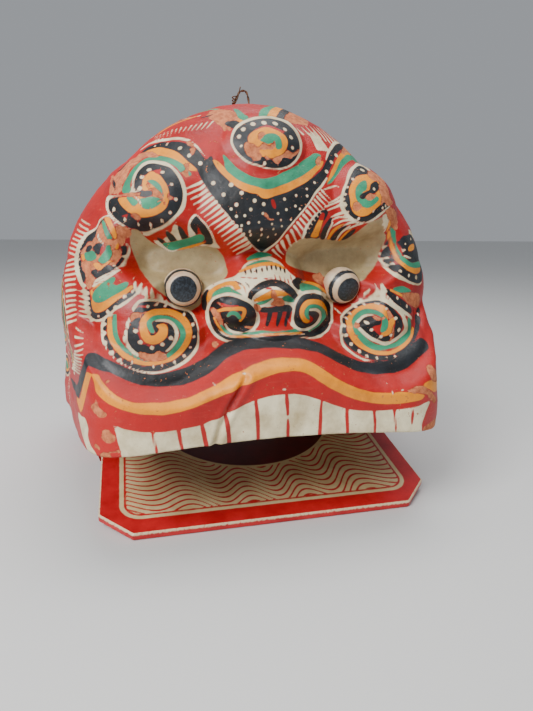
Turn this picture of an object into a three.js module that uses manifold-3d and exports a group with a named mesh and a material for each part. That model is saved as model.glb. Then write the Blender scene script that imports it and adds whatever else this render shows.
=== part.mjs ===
// Lion dance head: a papier-mache upper head with eyes, on its painted lower-jaw board.
// Millimetres, +Z up, the face looks towards -Y. Heights are from the surface it stands on.
import * as THREE from 'three';
import { mergeVertices } from 'three/addons/utils/BufferGeometryUtils.js';
import Module from 'manifold-3d';

const wasm = await Module();
wasm.setup();

// Driving sizes of the shell's smooth form
const SHELL_HALF_WIDTH = 190.7;
const SHELL_FRONT = 120;
const SHELL_BACK = 200;
const WIDEST_HEIGHT = 155;
const CROWN_HEIGHT = 391;
const SHELL_CENTRE_Y = 128;
const WALL = 6;
const SKIRT_NARROWING = 18;
const BROW_WIDENING = { z: 287, reach: 42, out: 7 };
const CORNER_NARROWING = { z: 152, reach: 34, out: -4 };

// How square the plan section is, at the muzzle, over the face and at the crown
const SQUARENESS = { muzzle: 9, face: 3.65, crown: 2.5 };
const MUZZLE_BLEND = { from: 130, to: 200 };
const CROWN_BLEND = { from: 230, to: 330 };
const FACE_TAPER = { share: 0.2, from: 150, to: 235 };

// The muzzle steps forward in two rolls over the upper teeth
const BLACK_ROLL_STEP = 22;
const YELLOW_ROLL_STEP = 26;
const BLACK_ROLL_HEIGHT = 156;
const YELLOW_ROLL_HEIGHT = 138;
const ROLL_ARCH = 28;
const ROLL_ARCH_HALF_WIDTH = 95;
const LIP_HEIGHT = 95;
const LIP_ARCH = 10;
const LIP_HALF_WIDTH = 150;
const MOUTH_BACK_Y = 185;

// Raised and sunk features: place on the face, half sizes, height out of the smooth form, and
// how fast the edge falls away, from a steep edge at 0.5 to a soft one above 1
const CHEEK = { x: 105, z: 186, rx: 47, rz: 37, out: 13, edge: 0.9 };
const BROW_BOSS = { x: 99, z: 304, rx: 40, rz: 33, out: 12, edge: 1 };
const MEDALLION = { x: 0, z: 347, rx: 38, rz: 28, out: 10, edge: 1 };
const BROW_RIDGE = { x: 0, z: 296, rx: 62, rz: 40, out: 7, edge: 1.2 };
const NOSE_TIP = { x: 0, z: 206, rx: 47, rz: 25, out: 16, edge: 0.8 };
const NOSTRIL = { x: 36, z: 204, rx: 23, rz: 21, out: 12, edge: 0.7 };
const NOSE_BRIDGE = { x: 0, z: 236, rx: 38, rz: 24, out: 24, edge: 1.2 };
const NOSE_GROOVE = { x: 0, z: 200, rx: 84, rz: 34, out: -13, edge: 1.2 };
const EYE_PIT = { x: 76, z: 212, rx: 31, rz: 24, out: -30, edge: 1.2 };
const TEMPLE = { x: 168, z: 226, rx: 26, rz: 44, out: 2, edge: 1.2 };
const SOCKET = { x: 78, z: 250, flat: 22, rx: 38, rz: 31, tilt: 0.12, depth: 33 };
const NASION = { z: 247, rx: 60, rz: 30, depth: 30 };

// The inside face has one broad hollow behind the sockets and the bridge of the nose
const INSIDE_HOLLOW = { flat: 95, z: 243, rx: 62, rz: 50, depth: 42 };
const INSIDE_STEP_DROP = 8;

// Eyes: turned balls with a flat pupil face, each in a round hole in its socket
const EYE = { x: 74.6, y: 34, z: 222.8, radius: 17.3, pupil: 11.5 };
const FIT_GAP = 0.3;

// Lower-jaw board: its front edge stands on the surface and its back lies on two ledges
const BOARD_WIDTH = 334;
const BOARD_DEPTH = 322;
const BOARD_THICKNESS = 7.7;
const BOARD_CORNER = 31;
const BOARD_TILT = THREE.MathUtils.degToRad(10.97);
const BOARD_SIDE_SHIFT = 8.4;
const LEDGE = { front: 205, back: 300, width: 14 };

// Opening at the back for the wearer
const BACK_OPENING = { halfWidth: 115, top: 215, from: 230 };

// Wire loop at the crown
const WIRE = { radius: 1.2, y: 150, feetApart: 18, height: 19, sink: 4, hole: 2.2 };

// Rows of the surface: levels up the smooth form, and how many rows run up to each of them.
// They are closest over the muzzle, the nose and the sockets.
const FACE_FROM_LEVEL = -0.43;
const ROWS = [
  { to: -0.16, rows: 4 }, { to: 0.085, rows: 10 }, { to: 0.39, rows: 17 },
  { to: 0.62, rows: 8 }, { to: 0.97, rows: 7 }
];

const clamp01 = t => Math.min(1, Math.max(0, t));
const mix = (a, b, t) => a + (b - a) * t;

function smooth(from, to, value) {
  const t = clamp01((value - from) / (to - from));
  return t * t * (3 - 2 * t);
}

const bulge = (z, form) => form.out * Math.max(0, 1 - ((z - form.z) / form.reach) ** 2);

// Plan section of the smooth form at one height, and the point on it at one bearing
function smoothPoint(bearing, level) {
  const rise = Math.sin(clamp01(level) * Math.PI / 2);
  const z = level >= 0
    ? WIDEST_HEIGHT + (CROWN_HEIGHT - WIDEST_HEIGHT) * rise
    : WIDEST_HEIGHT * (1 + level);
  const share = clamp01((z - WIDEST_HEIGHT) / (CROWN_HEIGHT - WIDEST_HEIGHT));
  const shrink = power => Math.pow(1 - Math.pow(share, power), 1 / power);
  const low = 1 - smooth(0, 100, z);
  const halfWidth = SHELL_HALF_WIDTH * shrink(1.91) - SKIRT_NARROWING * low
    + bulge(z, BROW_WIDENING) + bulge(z, CORNER_NARROWING);
  const depth = Math.cos(bearing) > 0 ? SHELL_FRONT * shrink(2.9) : SHELL_BACK * shrink(2.2);
  const upper = mix(SQUARENESS.face, SQUARENESS.crown, smooth(CROWN_BLEND.from, CROWN_BLEND.to, z));
  const squareness = mix(SQUARENESS.muzzle, upper, smooth(MUZZLE_BLEND.from, MUZZLE_BLEND.to, z));
  const across = Math.pow(Math.abs(Math.sin(bearing)) / halfWidth, squareness);
  const along = Math.pow(Math.abs(Math.cos(bearing)) / depth, squareness);
  const radius = Math.pow(across + along, -1 / squareness);
  const forward = radius * Math.cos(bearing);
  const tapered = 1 - smooth(FACE_TAPER.from, FACE_TAPER.to, z);
  const taper = FACE_TAPER.share * tapered * Math.min(1.2, Math.max(0, forward / 150));
  const x = radius * Math.sin(bearing) * (1 - taper) + BOARD_SIDE_SHIFT * low;
  return new THREE.Vector3(x, SHELL_CENTRE_Y - forward, z);
}

function boss(x, z, form) {
  const across = (x - form.x) / form.rx;
  const up = (z - form.z) / form.rz;
  return form.out * Math.pow(Math.max(0, 1 - across * across - up * up), form.edge);
}

// Height of the modelled features out of the smooth form, at a place seen from the front
function relief(x, z) {
  const side = Math.abs(x);
  const middle = SOCKET.z + SOCKET.tilt * (side - SOCKET.x);
  const past = Math.max(0, Math.abs(side - SOCKET.x) - SOCKET.flat);
  const fromSocket = Math.hypot(past / SOCKET.rx, (z - middle) / SOCKET.rz);
  const inSocket = 1 - smooth(0.35, 1.05, fromSocket);
  const fromNasion = Math.hypot(side / NASION.rx, (z - NASION.z) / NASION.rz);
  const inNasion = 1 - smooth(0.2, 1, fromNasion);
  let out = -SOCKET.depth * inSocket - NASION.depth * inNasion * (1 - inSocket);
  const forms = [CHEEK, BROW_BOSS, MEDALLION, BROW_RIDGE, NOSE_TIP, NOSTRIL, NOSE_BRIDGE];
  for (const form of [...forms, NOSE_GROOVE, EYE_PIT, TEMPLE]) out += boss(side, z, form);
  return out;
}

// Height of the arched line of a muzzle roll, which also rises towards the corners
function rollLine(x, height) {
  const side = Math.abs(x);
  const arch = 0.5 * ROLL_ARCH * (1 + Math.cos(Math.PI * Math.min(1, side / ROLL_ARCH_HALF_WIDTH)));
  const corner = Math.min(60, Math.max(0, side - 105));
  return height + arch + 0.01 * corner * corner;
}

function muzzleStep(x, z, bearing) {
  const black = rollLine(x, BLACK_ROLL_HEIGHT);
  const yellow = rollLine(x, YELLOW_ROLL_HEIGHT);
  const step = BLACK_ROLL_STEP * (1 - smooth(black - 2, black + 16, z))
    + YELLOW_ROLL_STEP * (1 - smooth(yellow - 4, black + 2, z));
  const facing = 1 - smooth(THREE.MathUtils.degToRad(48), THREE.MathUtils.degToRad(88), Math.abs(bearing));
  return step * facing;
}

function insideRelief(x, z) {
  const past = Math.max(0, Math.abs(x) - INSIDE_HOLLOW.flat);
  const from = Math.hypot(past / INSIDE_HOLLOW.rx, (z - INSIDE_HOLLOW.z) / INSIDE_HOLLOW.rz);
  return -WALL - INSIDE_HOLLOW.depth * (1 - smooth(0.55, 1.35, from));
}

// Point of the modelled outside, or of the plainer inside face one wall behind it
function headPoint(bearing, level, inside) {
  const step = 1e-3;
  const point = smoothPoint(bearing, level);
  const alongBearing = smoothPoint(bearing + step, level).sub(smoothPoint(bearing - step, level));
  const alongLevel = smoothPoint(bearing, level + step).sub(smoothPoint(bearing, level - step));
  const outward = alongBearing.cross(alongLevel).normalize();
  const faces = 1 - smooth(THREE.MathUtils.degToRad(75), THREE.MathUtils.degToRad(105), Math.abs(bearing));
  const hollow = insideRelief(point.x, point.z);
  const raised = inside ? mix(-WALL, hollow, faces) : faces * relief(point.x, point.z);
  const moved = point.clone().addScaledVector(outward, raised);
  moved.y -= muzzleStep(point.x, point.z + (inside ? INSIDE_STEP_DROP : 0), bearing);
  return moved;
}

// Closed body over the surface, with more columns on the face, and a share of the rows
function headBody(columns, share, inside) {
  const positions = [];
  const indices = [];
  const bearings = [];
  for (let i = 0; i < columns; i++) {
    const even = 2 * Math.PI * i / columns - Math.PI;
    bearings.push(even - 0.42 * Math.sin(even));
  }
  const bottomLevel = inside ? -1.1 : -1;
  const levels = [bottomLevel, -0.8, -0.6, FACE_FROM_LEVEL];
  for (const band of ROWS) {
    const from = levels[levels.length - 1];
    const count = Math.round(band.rows * share);
    for (let j = 1; j <= count; j++) levels.push(mix(from, band.to, j / count));
  }
  const rows = levels.length - 1;
  const topLevel = levels[rows];
  for (const level of levels) {
    for (const bearing of bearings) positions.push(...headPoint(bearing, level, inside));
  }
  const pole = smoothPoint(0, topLevel);
  positions.push(0, SHELL_CENTRE_Y, pole.z + (inside ? 1.5 - WALL : 1.5));
  const floorHeight = smoothPoint(0, bottomLevel).z;
  positions.push(0, SHELL_CENTRE_Y, floorHeight);
  const topVertex = (rows + 1) * columns;
  for (let i = 0; i < columns; i++) {
    const next = (i + 1) % columns;
    for (let j = 0; j < rows; j++) {
      const a = j * columns + i, b = j * columns + next;
      const c = a + columns, d = b + columns;
      if (apart(positions, a, d) < apart(positions, b, c)) indices.push(a, b, d, a, d, c);
      else indices.push(a, b, c, b, d, c);
    }
    const last = rows * columns;
    indices.push(last + i, last + next, topVertex);
    indices.push(next, i, topVertex + 1);
  }
  return bodyFrom(positions, indices);
}

function apart(positions, a, b) {
  const along = k => positions[3 * a + k] - positions[3 * b + k];
  return Math.hypot(along(0), along(1), along(2));
}

function bodyFrom(positions, indices) {
  const geometry = new THREE.BufferGeometry();
  geometry.setAttribute('position', new THREE.Float32BufferAttribute(positions, 3));
  geometry.setIndex(indices);
  return geometry;
}

function toSolid(geometry) {
  const bare = geometry.clone();
  bare.deleteAttribute('normal');
  bare.deleteAttribute('uv');
  const merged = mergeVertices(bare, 1e-4);
  return new wasm.Manifold(new wasm.Mesh({
    numProp: 3,
    vertProperties: new Float32Array(merged.attributes.position.array),
    triVerts: new Uint32Array(merged.index.array)
  }));
}

function toGeometry(solid) {
  const mesh = solid.getMesh();
  const geometry = new THREE.BufferGeometry();
  geometry.setAttribute('position', new THREE.BufferAttribute(mesh.vertProperties, 3));
  geometry.setIndex(new THREE.BufferAttribute(mesh.triVerts, 1));
  geometry.computeVertexNormals();
  return geometry;
}

// Outline in X and Z, run along Y between two places
function blockAlongY(shape, from, to, curveSegments = 12) {
  const geometry = new THREE.ExtrudeGeometry(shape, { depth: to - from, bevelEnabled: false, curveSegments });
  geometry.rotateX(Math.PI / 2);
  geometry.translate(0, to, 0);
  return geometry;
}

// Space under the upper teeth, open to the front and the sides back to the mouth corner
function mouthSpace() {
  const reach = SHELL_HALF_WIDTH + 40;
  const shape = new THREE.Shape();
  shape.moveTo(-reach, -20);
  shape.lineTo(reach, -20);
  shape.lineTo(reach, LIP_HEIGHT);
  const steps = 12;
  for (let i = 0; i <= steps; i++) {
    const x = LIP_HALF_WIDTH * (1 - 2 * i / steps);
    shape.lineTo(x, LIP_HEIGHT + LIP_ARCH * (1 - (x / LIP_HALF_WIDTH) ** 2));
  }
  shape.lineTo(-reach, LIP_HEIGHT);
  return blockAlongY(shape, -120, MOUTH_BACK_Y);
}

function backSpace() {
  const { halfWidth, top, from } = BACK_OPENING;
  const shape = new THREE.Shape();
  shape.moveTo(-halfWidth, -20);
  shape.lineTo(halfWidth, -20);
  shape.lineTo(halfWidth, top - halfWidth);
  shape.absarc(0, top - halfWidth, halfWidth, 0, Math.PI, false);
  return blockAlongY(shape, from, SHELL_CENTRE_Y + SHELL_BACK + 60);
}

// Board with cut corners, grown by a gap for the slot that it lies in
function boardGeometry(gap) {
  const half = BOARD_WIDTH / 2 + gap;
  const cut = BOARD_CORNER;
  const near = -gap, far = BOARD_DEPTH + gap;
  const shape = new THREE.Shape();
  shape.moveTo(-half + cut, near);
  shape.lineTo(half - cut, near);
  shape.lineTo(half, near + cut);
  shape.lineTo(half, far - cut);
  shape.lineTo(half - cut, far);
  shape.lineTo(-half + cut, far);
  shape.lineTo(-half, far - cut);
  shape.lineTo(-half, near + cut);
  const depth = BOARD_THICKNESS + 2 * gap;
  const geometry = new THREE.ExtrudeGeometry(shape, { depth, bevelEnabled: false });
  geometry.translate(BOARD_SIDE_SHIFT, 0, -gap);
  geometry.rotateX(BOARD_TILT);
  return geometry;
}

// Ledge moulded on the inside of one skirt, with its top in the plane of the board's underside
function ledge(side) {
  const underside = y => y * Math.tan(BOARD_TILT);
  const shape = new THREE.Shape();
  shape.moveTo(LEDGE.front, 0);
  shape.lineTo(LEDGE.back, 0);
  shape.lineTo(LEDGE.back, underside(LEDGE.back) + 2);
  shape.lineTo(LEDGE.front, underside(LEDGE.front) + 2);
  const length = LEDGE.width + 40;
  const geometry = new THREE.ExtrudeGeometry(shape, { depth: length, bevelEnabled: false });
  geometry.rotateX(Math.PI / 2);
  geometry.rotateZ(Math.PI / 2);
  const boardEdge = BOARD_SIDE_SHIFT + side * BOARD_WIDTH / 2;
  const nearEnd = side > 0 ? boardEdge - LEDGE.width : boardEdge + LEDGE.width - length;
  geometry.translate(nearEnd, 0, 0);
  return geometry;
}

// Ball with its front cut flat where the pupil is painted
function eyeGeometry(radius, pupil) {
  const points = [];
  const rings = 10;
  const faceAngle = Math.asin(pupil / radius);
  points.push(new THREE.Vector2(0, radius * Math.cos(faceAngle)));
  for (let i = 0; i <= rings; i++) {
    const angle = mix(faceAngle, Math.PI, i / rings);
    points.push(new THREE.Vector2(radius * Math.sin(angle), radius * Math.cos(angle)));
  }
  points[points.length - 1].x = 0;
  const geometry = new THREE.LatheGeometry(points.reverse(), 18);
  geometry.rotateX(Math.PI / 2);
  return geometry;
}

// Wire bent up out of the crown, across and down again
function wireLine() {
  const half = WIRE.feetApart / 2;
  const foot = WIRE_CROWN - WIRE.sink;
  return new THREE.CatmullRomCurve3([
    new THREE.Vector3(-half, WIRE.y, foot),
    new THREE.Vector3(-half + 0.5, WIRE.y, WIRE_CROWN + 0.25 * WIRE.height),
    new THREE.Vector3(-half + 5, WIRE.y - 1, WIRE_CROWN + 0.75 * WIRE.height),
    new THREE.Vector3(0, WIRE.y - 1, WIRE_CROWN + WIRE.height),
    new THREE.Vector3(half - 2, WIRE.y, WIRE_CROWN + 0.8 * WIRE.height),
    new THREE.Vector3(half, WIRE.y, WIRE_CROWN + 0.3 * WIRE.height),
    new THREE.Vector3(half - 1, WIRE.y, foot)
  ]);
}

function wireGeometry() {
  const section = new THREE.Shape();
  section.absarc(0, 0, WIRE.radius, 0, 2 * Math.PI, false);
  return new THREE.ExtrudeGeometry(section, {
    steps: 22, extrudePath: wireLine(), bevelEnabled: false, curveSegments: 4
  });
}

const WIRE_CROWN = CROWN_HEIGHT - 2;

const outer = toSolid(headBody(80, 1, false));
const inner = toSolid(headBody(44, 0.4, true));
const shellParts = [-1, 1].map(side => toSolid(ledge(side)).intersect(outer));
const eyePlaces = [-1, 1].map(side => new THREE.Vector3(side * EYE.x, EYE.y, EYE.z));
let shell = outer.subtract(inner).subtract(toSolid(mouthSpace())).subtract(toSolid(backSpace()));
for (const part of shellParts) shell = shell.add(part);
shell = shell.subtract(toSolid(boardGeometry(FIT_GAP)));
for (const place of eyePlaces) {
  const hole = eyeGeometry(EYE.radius + FIT_GAP, 0.5);
  hole.translate(place.x, place.y, place.z);
  shell = shell.subtract(toSolid(hole));
}
for (const side of [-1, 1]) {
  const hole = new THREE.CylinderGeometry(WIRE.hole, WIRE.hole, 40, 12);
  hole.rotateX(Math.PI / 2);
  hole.translate(side * WIRE.feetApart / 2, WIRE.y, WIRE_CROWN);
  shell = shell.subtract(toSolid(hole));
}

const paper = new THREE.MeshStandardMaterial({ color: 0xc8322b, roughness: 0.5, metalness: 0 });
const eyePaint = new THREE.MeshStandardMaterial({ color: 0xe6dcc2, roughness: 0.4, metalness: 0 });
const boardPaint = new THREE.MeshStandardMaterial({ color: 0xc9353a, roughness: 0.45, metalness: 0 });
const rust = new THREE.MeshStandardMaterial({ color: 0x6b4a35, roughness: 0.8, metalness: 0.6 });

const group = new THREE.Group();

function addMesh(name, geometry, material) {
  const mesh = new THREE.Mesh(geometry, material);
  mesh.name = name;
  group.add(mesh);
  return mesh;
}

addMesh('head_shell', toGeometry(shell), paper);
addMesh('jaw_board', boardGeometry(0), boardPaint);
['eye_left', 'eye_right'].forEach((name, i) => {
  addMesh(name, eyeGeometry(EYE.radius, EYE.pupil), eyePaint).position.copy(eyePlaces[i]);
});
addMesh('hanging_wire', wireGeometry(), rust);

// The origin is on the standing surface, under the middle of the whole head
const extent = new THREE.Box3().setFromObject(group, true);
const middle = extent.getCenter(new THREE.Vector3());
group.position.set(-middle.x, -middle.y, 0);

export default group;
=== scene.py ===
import math

import bpy
import numpy as np
from mathutils import Matrix, Vector
from mathutils.kdtree import KDTree


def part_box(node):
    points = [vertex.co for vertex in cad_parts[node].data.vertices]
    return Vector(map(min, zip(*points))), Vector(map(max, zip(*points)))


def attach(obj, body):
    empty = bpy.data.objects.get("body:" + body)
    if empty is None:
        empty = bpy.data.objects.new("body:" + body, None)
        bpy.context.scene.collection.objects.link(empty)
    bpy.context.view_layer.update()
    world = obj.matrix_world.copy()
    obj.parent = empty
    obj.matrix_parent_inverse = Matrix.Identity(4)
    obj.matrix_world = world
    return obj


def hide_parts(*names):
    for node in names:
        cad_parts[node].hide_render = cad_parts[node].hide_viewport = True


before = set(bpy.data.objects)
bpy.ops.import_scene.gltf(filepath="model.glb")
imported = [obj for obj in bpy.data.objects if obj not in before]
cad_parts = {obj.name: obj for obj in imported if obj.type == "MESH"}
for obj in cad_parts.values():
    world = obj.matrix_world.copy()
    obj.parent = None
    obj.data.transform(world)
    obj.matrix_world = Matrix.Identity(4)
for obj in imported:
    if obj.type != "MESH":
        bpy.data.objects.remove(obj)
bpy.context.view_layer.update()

MM = 0.001

# The jaw board's front edge stands at y = 0 in the sizes below, which are in millimetres
BOARD_FRONT_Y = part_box("jaw_board")[0][1]

# Camera, fitted from the table top: place, heading to the right of the head's axis, pitch and roll
CAMERA_PLACE = (-119.8, -451.2, 280.0)
CAMERA_HEADING = math.atan2(0.2443, 0.9697)
CAMERA_PITCH = 0.240
CAMERA_ROLL = 0.012
FOCAL_PX = 544
PHOTO_WIDTH_PX = 533
PHOTO_HEIGHT_PX = 711
SENSOR_MM = 36


def camera_axes():
    """Directions to the photo's right, to its top and into it."""
    heading = Vector((math.sin(CAMERA_HEADING), math.cos(CAMERA_HEADING), 0))
    level_right = Vector((heading.y, -heading.x, 0))
    forward = heading * math.cos(CAMERA_PITCH) - Vector((0, 0, math.sin(CAMERA_PITCH)))
    level_up = level_right.cross(forward)
    right = level_right * math.cos(CAMERA_ROLL) + level_up * math.sin(CAMERA_ROLL)
    up = level_up * math.cos(CAMERA_ROLL) - level_right * math.sin(CAMERA_ROLL)
    return right, up, forward


def make_camera():
    data = bpy.data.cameras.new("photo_camera")
    data.sensor_fit = "VERTICAL"
    data.sensor_height = SENSOR_MM
    data.lens = FOCAL_PX / PHOTO_HEIGHT_PX * SENSOR_MM
    camera = bpy.data.objects.new("photo_camera", data)
    bpy.context.scene.collection.objects.link(camera)
    right, up, forward = camera_axes()
    turn = Matrix((right, up, -forward)).transposed().to_4x4()
    place = Vector(CAMERA_PLACE) * MM + Vector((0, BOARD_FRONT_Y, 0))
    camera.matrix_world = Matrix.Translation(place) @ turn
    bpy.context.scene.camera = camera


make_camera()

# Sizes of the shell, the same as the solid's
SHELL_HALF_WIDTH = 190.7
SHELL_FRONT = 120
SHELL_BACK = 200
WIDEST_HEIGHT = 155
CROWN_HEIGHT = 391
SHELL_CENTRE_Y = 128
WALL = 6
SKIRT_NARROWING = 18
BROW_WIDENING = (287, 42, 7)
CORNER_NARROWING = (152, 34, -4)
BOARD_SIDE_SHIFT = 8.4
BLACK_ROLL_STEP = 22
YELLOW_ROLL_STEP = 26
BLACK_ROLL_HEIGHT = 156
YELLOW_ROLL_HEIGHT = 138
ROLL_ARCH = 28
ROLL_ARCH_HALF_WIDTH = 95
LIP_HEIGHT = 95
LIP_LEVEL = LIP_HEIGHT / WIDEST_HEIGHT - 1
LIP_ARCH = 10
LIP_HALF_WIDTH = 150

# Raised and sunk forms: place on the face, half sizes, height out, and steepness of the edge
BOSSES = {
    "cheek": (105, 186, 47, 37, 13, 0.9),
    "brow_boss": (99, 304, 40, 33, 12, 1),
    "medallion": (0, 347, 38, 28, 10, 1),
    "brow_ridge": (0, 296, 62, 40, 7, 1.2),
    "nose_tip": (0, 206, 47, 25, 16, 0.8),
    "nostril": (36, 204, 23, 21, 12, 0.7),
    "nose_bridge": (0, 236, 38, 24, 24, 1.2),
    "nose_groove": (0, 200, 84, 34, -13, 1.2),
    "eye_pit": (76, 212, 31, 24, -30, 1.2),
    "temple": (168, 226, 26, 44, 2, 1.2),
}
SOCKET = dict(x=78, z=250, flat=22, rx=38, rz=31, tilt=0.12, depth=33)
NASION = dict(z=247, rx=60, rz=30, depth=30)
INSIDE_HOLLOW = dict(flat=95, z=243, rx=62, rz=50, depth=42)
INSIDE_STEP_DROP = 8

# Bearings of the mouth corner and of the back opening's sides, in degrees from the front
MOUTH_CORNER = 106.9
BACK_SIDE = 150.5
BACK_HALF_WIDTH = 115
BACK_ARCH_HEIGHT = 100
TOP_LEVEL = 0.985
ARCH_TOP = 222


def smooth(start, end, value):
    t = np.clip((value - start) / (end - start), 0, 1)
    return t * t * (3 - 2 * t)


def mix(a, b, t):
    return a + (b - a) * t


def hashed(cells, seed):
    """Repeatable random numbers from 0 to 1, one for each whole-number cell."""
    x, y, z = (cells[..., i].astype(np.int64) for i in range(3))
    h = (x * 374761393 + y * 668265263 + z * 2147483647 + seed * 1274126177) & 0xFFFFFFFF
    h = ((h ^ (h >> 13)) * 1103515245) & 0xFFFFFFFF
    h = ((h ^ (h >> 16)) * 2654435761) & 0xFFFFFFFF
    return (h >> 8).astype(float) / 0xFFFFFF


def lumps(points, size, seed):
    """Smooth noise from -1 to 1, with bumps about as wide as size."""
    scaled = points / size
    low = np.floor(scaled)
    t = scaled - low
    t = t * t * (3 - 2 * t)
    total = 0
    for corner in np.ndindex(2, 2, 2):
        weight = np.prod(np.where(np.array(corner), t, 1 - t), axis=-1)
        total = total + weight * hashed(low + np.array(corner), seed)
    return 2 * total - 1


def bulge(z, height, reach, out):
    return out * np.clip(1 - ((z - height) / reach) ** 2, 0, None)


def smooth_point(bearing, level):
    """Point of the smooth form at a bearing from the front and a level from the widest line."""
    rise = np.sin(np.clip(level, 0, 1) * np.pi / 2)
    above = WIDEST_HEIGHT + (CROWN_HEIGHT - WIDEST_HEIGHT) * rise
    z = np.where(level >= 0, above, WIDEST_HEIGHT * (1 + level))
    share = np.clip((z - WIDEST_HEIGHT) / (CROWN_HEIGHT - WIDEST_HEIGHT), 0, 1)

    def shrink(power):
        return np.clip(1 - share ** power, 1e-9, 1) ** (1 / power)

    low = 1 - smooth(0, 100, z)
    half_width = SHELL_HALF_WIDTH * shrink(1.91) - SKIRT_NARROWING * low
    half_width = half_width + bulge(z, *BROW_WIDENING) + bulge(z, *CORNER_NARROWING)
    faces = np.cos(bearing) > 0
    depth = np.where(faces, SHELL_FRONT * shrink(2.9), SHELL_BACK * shrink(2.2))
    upper = mix(3.65, 2.5, smooth(230, 330, z))
    square = mix(upper, 9, 1 - smooth(130, 200, z))
    across = (np.abs(np.sin(bearing)) / half_width) ** square
    along = (np.abs(np.cos(bearing)) / depth) ** square
    radius = (across + along) ** (-1 / square)
    forward = radius * np.cos(bearing)
    taper = 0.2 * (1 - smooth(150, 235, z)) * np.clip(forward / 150, 0, 1.2)
    x = radius * np.sin(bearing) * (1 - taper) + BOARD_SIDE_SHIFT * low
    return np.stack([x, SHELL_CENTRE_Y - forward, z], -1)


def boss(side, z, form):
    x, height, rx, rz, out, edge = form
    return out * np.clip(1 - ((side - x) / rx) ** 2 - ((z - height) / rz) ** 2, 0, None) ** edge


def relief(x, z):
    side = np.abs(x)
    middle = SOCKET["z"] + SOCKET["tilt"] * (side - SOCKET["x"])
    past = np.clip(np.abs(side - SOCKET["x"]) - SOCKET["flat"], 0, None)
    in_socket = 1 - smooth(0.35, 1.05, np.hypot(past / SOCKET["rx"], (z - middle) / SOCKET["rz"]))
    from_nasion = np.hypot(side / NASION["rx"], (z - NASION["z"]) / NASION["rz"])
    in_nasion = 1 - smooth(0.2, 1, from_nasion)
    out = -SOCKET["depth"] * in_socket - NASION["depth"] * in_nasion * (1 - in_socket)
    for form in BOSSES.values():
        out = out + boss(side, z, form)
    return out


def roll_line(x, height):
    side = np.abs(x)
    arch = 0.5 * ROLL_ARCH * (1 + np.cos(np.pi * np.clip(side / ROLL_ARCH_HALF_WIDTH, 0, 1)))
    return height + arch + 0.01 * np.clip(side - 105, 0, 60) ** 2


def muzzle_step(x, z, bearing):
    black = roll_line(x, BLACK_ROLL_HEIGHT)
    yellow = roll_line(x, YELLOW_ROLL_HEIGHT)
    step = BLACK_ROLL_STEP * (1 - smooth(black - 2, black + 16, z))
    step = step + YELLOW_ROLL_STEP * (1 - smooth(yellow - 4, black + 2, z))
    return step * (1 - smooth(math.radians(48), math.radians(88), np.abs(bearing)))


def inside_relief(x, z):
    past = np.clip(np.abs(x) - INSIDE_HOLLOW["flat"], 0, None)
    from_middle = np.hypot(past / INSIDE_HOLLOW["rx"], (z - INSIDE_HOLLOW["z"]) / INSIDE_HOLLOW["rz"])
    return -WALL - INSIDE_HOLLOW["depth"] * (1 - smooth(0.55, 1.35, from_middle))


def outward(bearing, level):
    step = 1e-3
    along_bearing = smooth_point(bearing + step, level) - smooth_point(bearing - step, level)
    along_level = smooth_point(bearing, level + step) - smooth_point(bearing, level - step)
    normal = np.cross(along_bearing, along_level)
    return normal / np.maximum(np.linalg.norm(normal, axis=-1, keepdims=True), 1e-12)


def head_point(bearing, level, inside):
    """Points of the modelled outside, or of the plainer inside face one wall behind it."""
    point = smooth_point(bearing, level)
    x, z = point[..., 0], point[..., 2]
    faces = 1 - smooth(math.radians(75), math.radians(105), np.abs(bearing))
    raised = mix(-WALL, inside_relief(x, z), faces) if inside else faces * relief(x, z)
    moved = point + outward(bearing, level) * raised[..., None]
    moved[..., 1] -= muzzle_step(x, z + (INSIDE_STEP_DROP if inside else 0), bearing)
    return point, moved


def level_of(z):
    above = 2 / np.pi * np.arcsin(np.clip((z - WIDEST_HEIGHT) / (CROWN_HEIGHT - WIDEST_HEIGHT), 0, 1))
    return np.where(z >= WIDEST_HEIGHT, above, z / WIDEST_HEIGHT - 1)


def rim_height(bearing, x):
    """Height of the shell's lower edge: the lip, the skirts and the arch of the back opening."""
    lip = LIP_HEIGHT + LIP_ARCH * (1 - (np.clip(np.abs(x) / LIP_HALF_WIDTH, 0, 1)) ** 2)
    arch = BACK_ARCH_HEIGHT + np.sqrt(np.clip(BACK_HALF_WIDTH ** 2 - x ** 2, 0, None))
    degrees = np.degrees(np.abs(bearing))
    skirt = np.where(degrees < BACK_SIDE, 0.0, arch)
    return np.where(degrees < MOUTH_CORNER, lip, skirt)


def bearing_columns(front, side):
    """Bearings round the head: front columns across the face, side ones for each skirt and back half."""
    half = math.radians(MOUTH_CORNER)
    even = np.linspace(-1, 1, front)
    face = half * (even - 0.12 * np.sin(np.pi * even))
    skirt = np.radians(np.linspace(MOUTH_CORNER + 0.05, BACK_SIDE, side))
    back = np.radians(np.linspace(BACK_SIDE + 0.05, 180, side, endpoint=False))
    right = np.concatenate([skirt, back])
    return np.concatenate([[-math.pi], -right[::-1], face, right])


def row_shares(rows):
    """Rows spaced evenly up the front of the face, closer across the cheeks, nose and eyes."""
    level = np.linspace(LIP_LEVEL, TOP_LEVEL, 400)
    path = smooth_point(np.zeros(400), level)
    height = path[1:, 2]
    closeness = np.where(height > 345, 0.7, np.where((height > 150) & (height < 300), 1.4, 1.0))
    travelled = np.concatenate([[0], np.cumsum(np.linalg.norm(np.diff(path, axis=0), axis=-1) * closeness)])
    even = np.linspace(0, travelled[-1], rows)
    return (np.interp(even, travelled, level) - LIP_LEVEL) / (TOP_LEVEL - LIP_LEVEL)


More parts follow.
